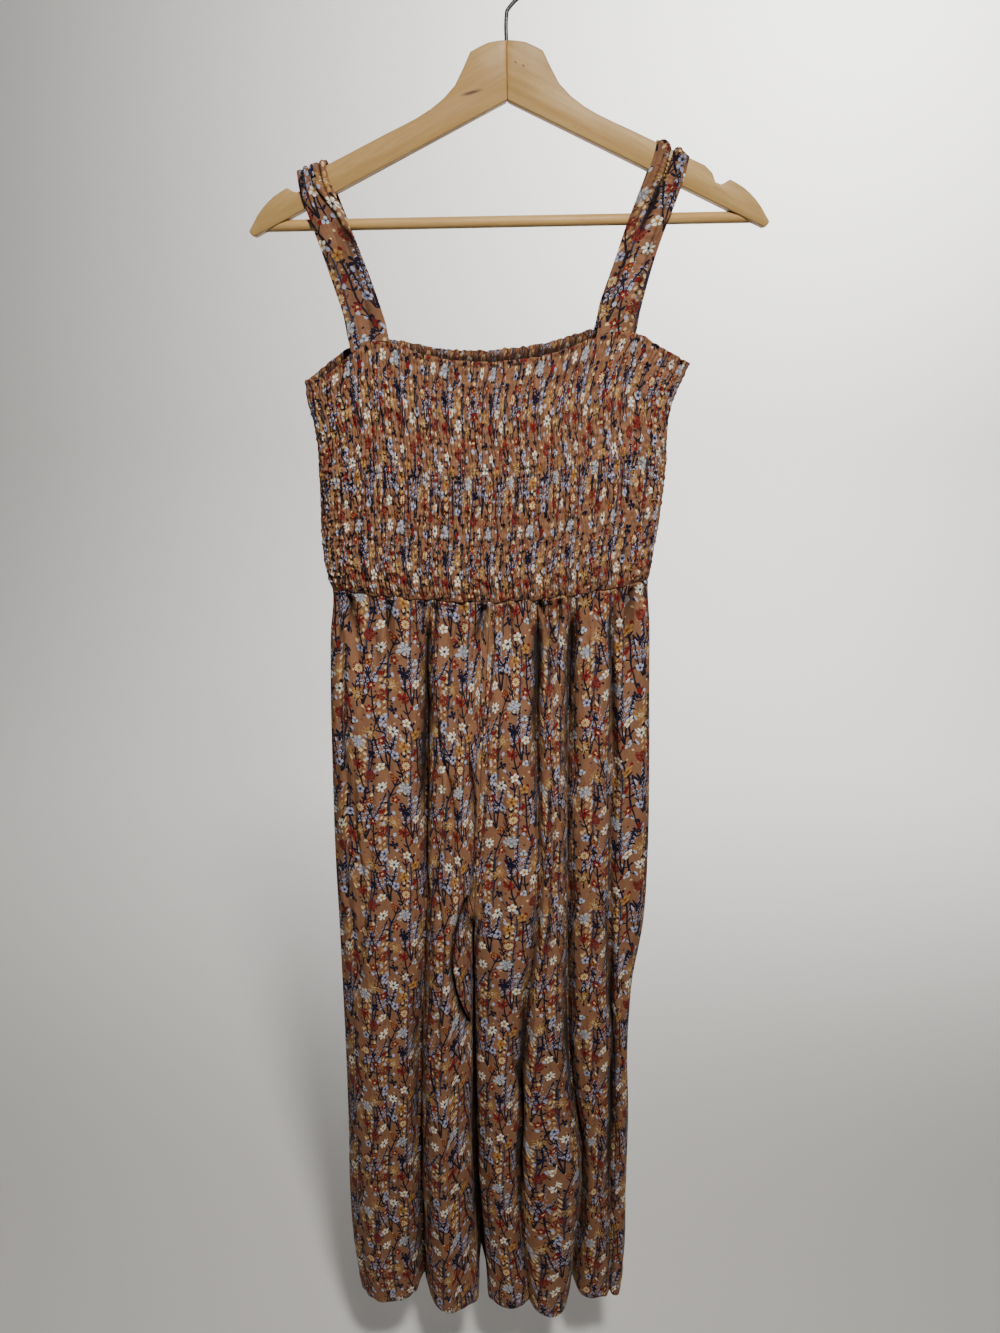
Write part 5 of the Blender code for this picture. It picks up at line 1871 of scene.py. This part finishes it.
class JUMPSUIT_OT_hanger(bpy.types.Operator):
    """Makes the hanger's two wooden arms and its bar"""

    bl_idname = "jumpsuit.hanger"
    bl_label = "Hanger"

    def execute(self, context):
        hanger = context.scene.jumpsuit_hanger
        for arm in ARMS:
            self.make_arm(hanger, arm)
        self.make_bar(hanger)
        return {"FINISHED"}

    def make_arm(self, hanger, arm):
        """An arm's own form, welded, with its mitre drawn together."""
        node = "hanger_arm_" + arm.side
        bm = bmesh.new()
        bm.from_mesh(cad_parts[node].data)
        bmesh.ops.remove_doubles(bm, verts=bm.verts, dist=1e-6)
        level = hanger_turn().inverted()
        mitre = [vert for vert in bm.verts if abs((level @ vert.co).x) < MITRE_REACH * MM]
        bmesh.ops.scale(bm, vec=(MITRE_CLOSING, 1.0, 1.0), space=level, verts=mitre)
        finish = wood(arm.side + " arm wood", darker(hanger.wood, arm.tone), arm.grain, arm.knots)
        finished_wood(bm, node + "_wood", ARM_SHARP, finish, node)

    def make_bar(self, hanger):
        bm = bmesh.new()
        bmesh.ops.create_cone(
            bm, cap_ends=True, segments=BAR_SIDES, radius1=BAR_RADIUS * MM, radius2=BAR_RADIUS * MM,
            depth=2 * BAR_HALF_LENGTH * MM,
        )
        rims = [edge for edge in bm.edges if any(len(face.verts) > 4 for face in edge.link_faces)]
        bmesh.ops.bevel(
            bm, geom=rims, offset=BAR_CHAMFER * MM, segments=2, profile=0.5, affect="EDGES",
            material=-1,
        )
        lying = Matrix.Rotation(math.radians(90), 4, "Y")
        lowered = Matrix.Translation((0.0, 0.0, BAR_HEIGHT * MM))
        bmesh.ops.transform(bm, matrix=hanger_turn() @ lowered @ lying, verts=bm.verts)
        finish = wood("bar wood", hanger.bar, BAR_GRAIN)
        finished_wood(bm, "hanger_bar_wood", BAR_SHARP, finish, "hanger_bar")


class JUMPSUIT_OT_hook(bpy.types.Operator):
    """Makes the hanger's wire hook"""

    bl_idname = "jumpsuit.hook"
    bl_label = "Hook"

    def execute(self, context):
        curve = bpy.data.curves.new("hanger_hook_wire", "CURVE")
        curve.dimensions = "3D"
        curve.bevel_depth = HOOK_WIRE * MM
        curve.bevel_resolution = 6
        curve.use_fill_caps = True
        path = self.path()
        spline = curve.splines.new("POLY")
        spline.points.add(len(path) - 1)
        for point, (x, z) in zip(spline.points, path):
            point.co = (x * MM, 0.0, z * MM, 1.0)
        spline.use_smooth = True
        curve.materials.append(plated_wire(context.scene.jumpsuit_hanger.wire))
        piece = placed("hanger_hook_wire", curve)
        in_body("hook_wire", piece)
        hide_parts("hanger_hook")
        return {"FINISHED"}

    def path(self):
        """Up the stem, a bend to the right, and over the rail."""
        round_radius = HOOK_INSIDE + HOOK_WIRE
        turns = np.radians(np.arange(HOOK_FIRST_ANGLE, HOOK_LAST_ANGLE, HOOK_STEP))
        across = round_radius * np.cos(turns)
        up = -HOOK_INSIDE + round_radius * np.sin(turns)
        xs, zs = np.array([*HOOK_STEM, *zip(across, up)]).T
        run = running(np.hypot(np.diff(xs), np.diff(zs)))
        at = np.linspace(0.0, run[-1], HOOK_POINTS)
        return list(zip(eased(at, run, xs), eased(at, run, zs)))


STAGE_DROP = 0.16
STAGE_WIDTH = 9.0
STAGE_BACK = 2.7
STAGE_FRONT = -4.0
STAGE_COVE = 0.9
STAGE_HEIGHT = 3.4
COVE_STEPS = 14

Lamp = namedtuple("Lamp", "name place aim size spread power colour")
LAMPS = (
    Lamp("key light", (0.22, -1.02, 0.50), (-0.03, 0.0, -0.80), 0.20, 92,
         "key_power", (1.0, 0.96, 0.90)),
    Lamp("fill light", (-1.3, -1.7, 0.1), (-0.02, 0.0, -0.5), 1.6, 150,
         "fill_power", (0.94, 0.97, 1.0)),
    Lamp("wall light", (1.3, 0.9, 1.2), (0.8, 2.7, 0.1), 1.5, 130,
         "wall_power", (1.0, 0.99, 0.97)),
)


class JUMPSUIT_OT_stage(bpy.types.Operator):
    """Sets the pale floor and backdrop, the soft lights and the camera"""

    bl_idname = "jumpsuit.stage"
    bl_label = "Studio"

    def execute(self, context):
        stage = context.scene.jumpsuit_stage
        self.backdrop(stage)
        self.lights(stage)
        self.room(context, stage)
        self.camera(context)
        return {"FINISHED"}

    def backdrop(self, stage):
        """A floor that curves up into a far wall, drawn out sideways from one line."""
        floor = CAD_BOX[0].z - STAGE_DROP
        turns = [math.radians(90 * k / COVE_STEPS) for k in range(COVE_STEPS + 1)]
        line = [(STAGE_FRONT, floor)]
        line += [
            (STAGE_BACK - STAGE_COVE + STAGE_COVE * math.sin(t), floor + STAGE_COVE * (1 - math.cos(t)))
            for t in turns
        ]
        line += [(STAGE_BACK, floor + STAGE_HEIGHT)]
        bm = bmesh.new()
        verts = [bm.verts.new((-STAGE_WIDTH / 2, y, z)) for y, z in line]
        edges = [bm.edges.new(pair) for pair in zip(verts, verts[1:])]
        drawn = bmesh.ops.extrude_edge_only(bm, edges=edges)
        moved = [v for v in drawn["geom"] if isinstance(v, bmesh.types.BMVert)]
        bmesh.ops.translate(bm, vec=(STAGE_WIDTH, 0.0, 0.0), verts=moved)
        bmesh.ops.recalc_face_normals(bm, faces=bm.faces)
        mesh = mesh_of(bm, "backdrop")
        mesh.shade_smooth()
        mesh.materials.append(backdrop_paper(stage.paper))
        piece = placed("backdrop", mesh)

    def lights(self, stage):
        for lamp in LAMPS:
            light = bpy.data.lights.new(lamp.name, "AREA")
            light.shape = "DISK"
            light.size = lamp.size
            light.spread = math.radians(lamp.spread)
            light.energy = getattr(stage, lamp.power)
            light.color = lamp.colour
            way = Vector(lamp.aim) - Vector(lamp.place)
            turn = way.to_track_quat("-Z", "Y").to_matrix().to_4x4()
            placed(lamp.name, light).matrix_world = Matrix.Translation(lamp.place) @ turn

    def room(self, context, stage):
        world = bpy.data.worlds.new("studio room")
        world.use_nodes = True
        light = world.node_tree.nodes["Background"]
        light.inputs["Color"].default_value = (*ROOM_COLOUR, 1.0)
        light.inputs["Strength"].default_value = stage.room_light
        context.scene.world = world

    def camera(self, context):
        lens = bpy.data.cameras.new("camera")
        lens.sensor_width = SENSOR
        lens.lens = SENSOR * FOCAL_PIXELS / PICTURE_HEIGHT
        lens.clip_start = NEAREST_SEEN
        camera = placed("camera", lens)
        camera.location = CAMERA_PLACE
        camera.rotation_euler = (math.radians(90 - CAMERA_TILT), 0.0, 0.0)
        context.scene.camera = camera


class JUMPSUIT_PT_pieces(bpy.types.Panel):
    """Lists the pieces in the order in which they are made"""

    bl_label = "Jumpsuit"
    bl_idname = "JUMPSUIT_PT_pieces"
    bl_space_type = "VIEW_3D"
    bl_region_type = "UI"
    bl_category = "Jumpsuit"

    def draw(self, context):
        layout = self.layout
        for operator in OPERATORS:
            layout.operator(operator.bl_idname)
        for settings in SETTINGS:
            group = getattr(context.scene, settings)
            box = layout.box()
            for name in group.bl_rna.properties.keys():
                if name not in {"rna_type", "name"}:
                    box.prop(group, name)


OPERATORS = (
    JUMPSUIT_OT_hanger, JUMPSUIT_OT_hook, JUMPSUIT_OT_straps, JUMPSUIT_OT_smocked_bands,
    JUMPSUIT_OT_legs, JUMPSUIT_OT_stage,
)
SETTINGS = {
    "jumpsuit_cloth": ClothSettings,
    "jumpsuit_hanger": HangerSettings,
    "jumpsuit_stage": StageSettings,
}
CLASSES = (*SETTINGS.values(), *OPERATORS, JUMPSUIT_PT_pieces)


def register():
    for made in CLASSES:
        bpy.utils.register_class(made)
    for name, group in SETTINGS.items():
        setattr(bpy.types.Scene, name, PointerProperty(type=group))


def unregister():
    for name in SETTINGS:
        delattr(bpy.types.Scene, name)
    for made in reversed(CLASSES):
        bpy.utils.unregister_class(made)


def main():
    register()
    bpy.ops.jumpsuit.hanger()
    bpy.ops.jumpsuit.hook()
    bpy.ops.jumpsuit.straps()
    bpy.ops.jumpsuit.smocked_bands()
    bpy.ops.jumpsuit.legs()
    bpy.ops.jumpsuit.stage()


if __name__ == "__main__":
    main()
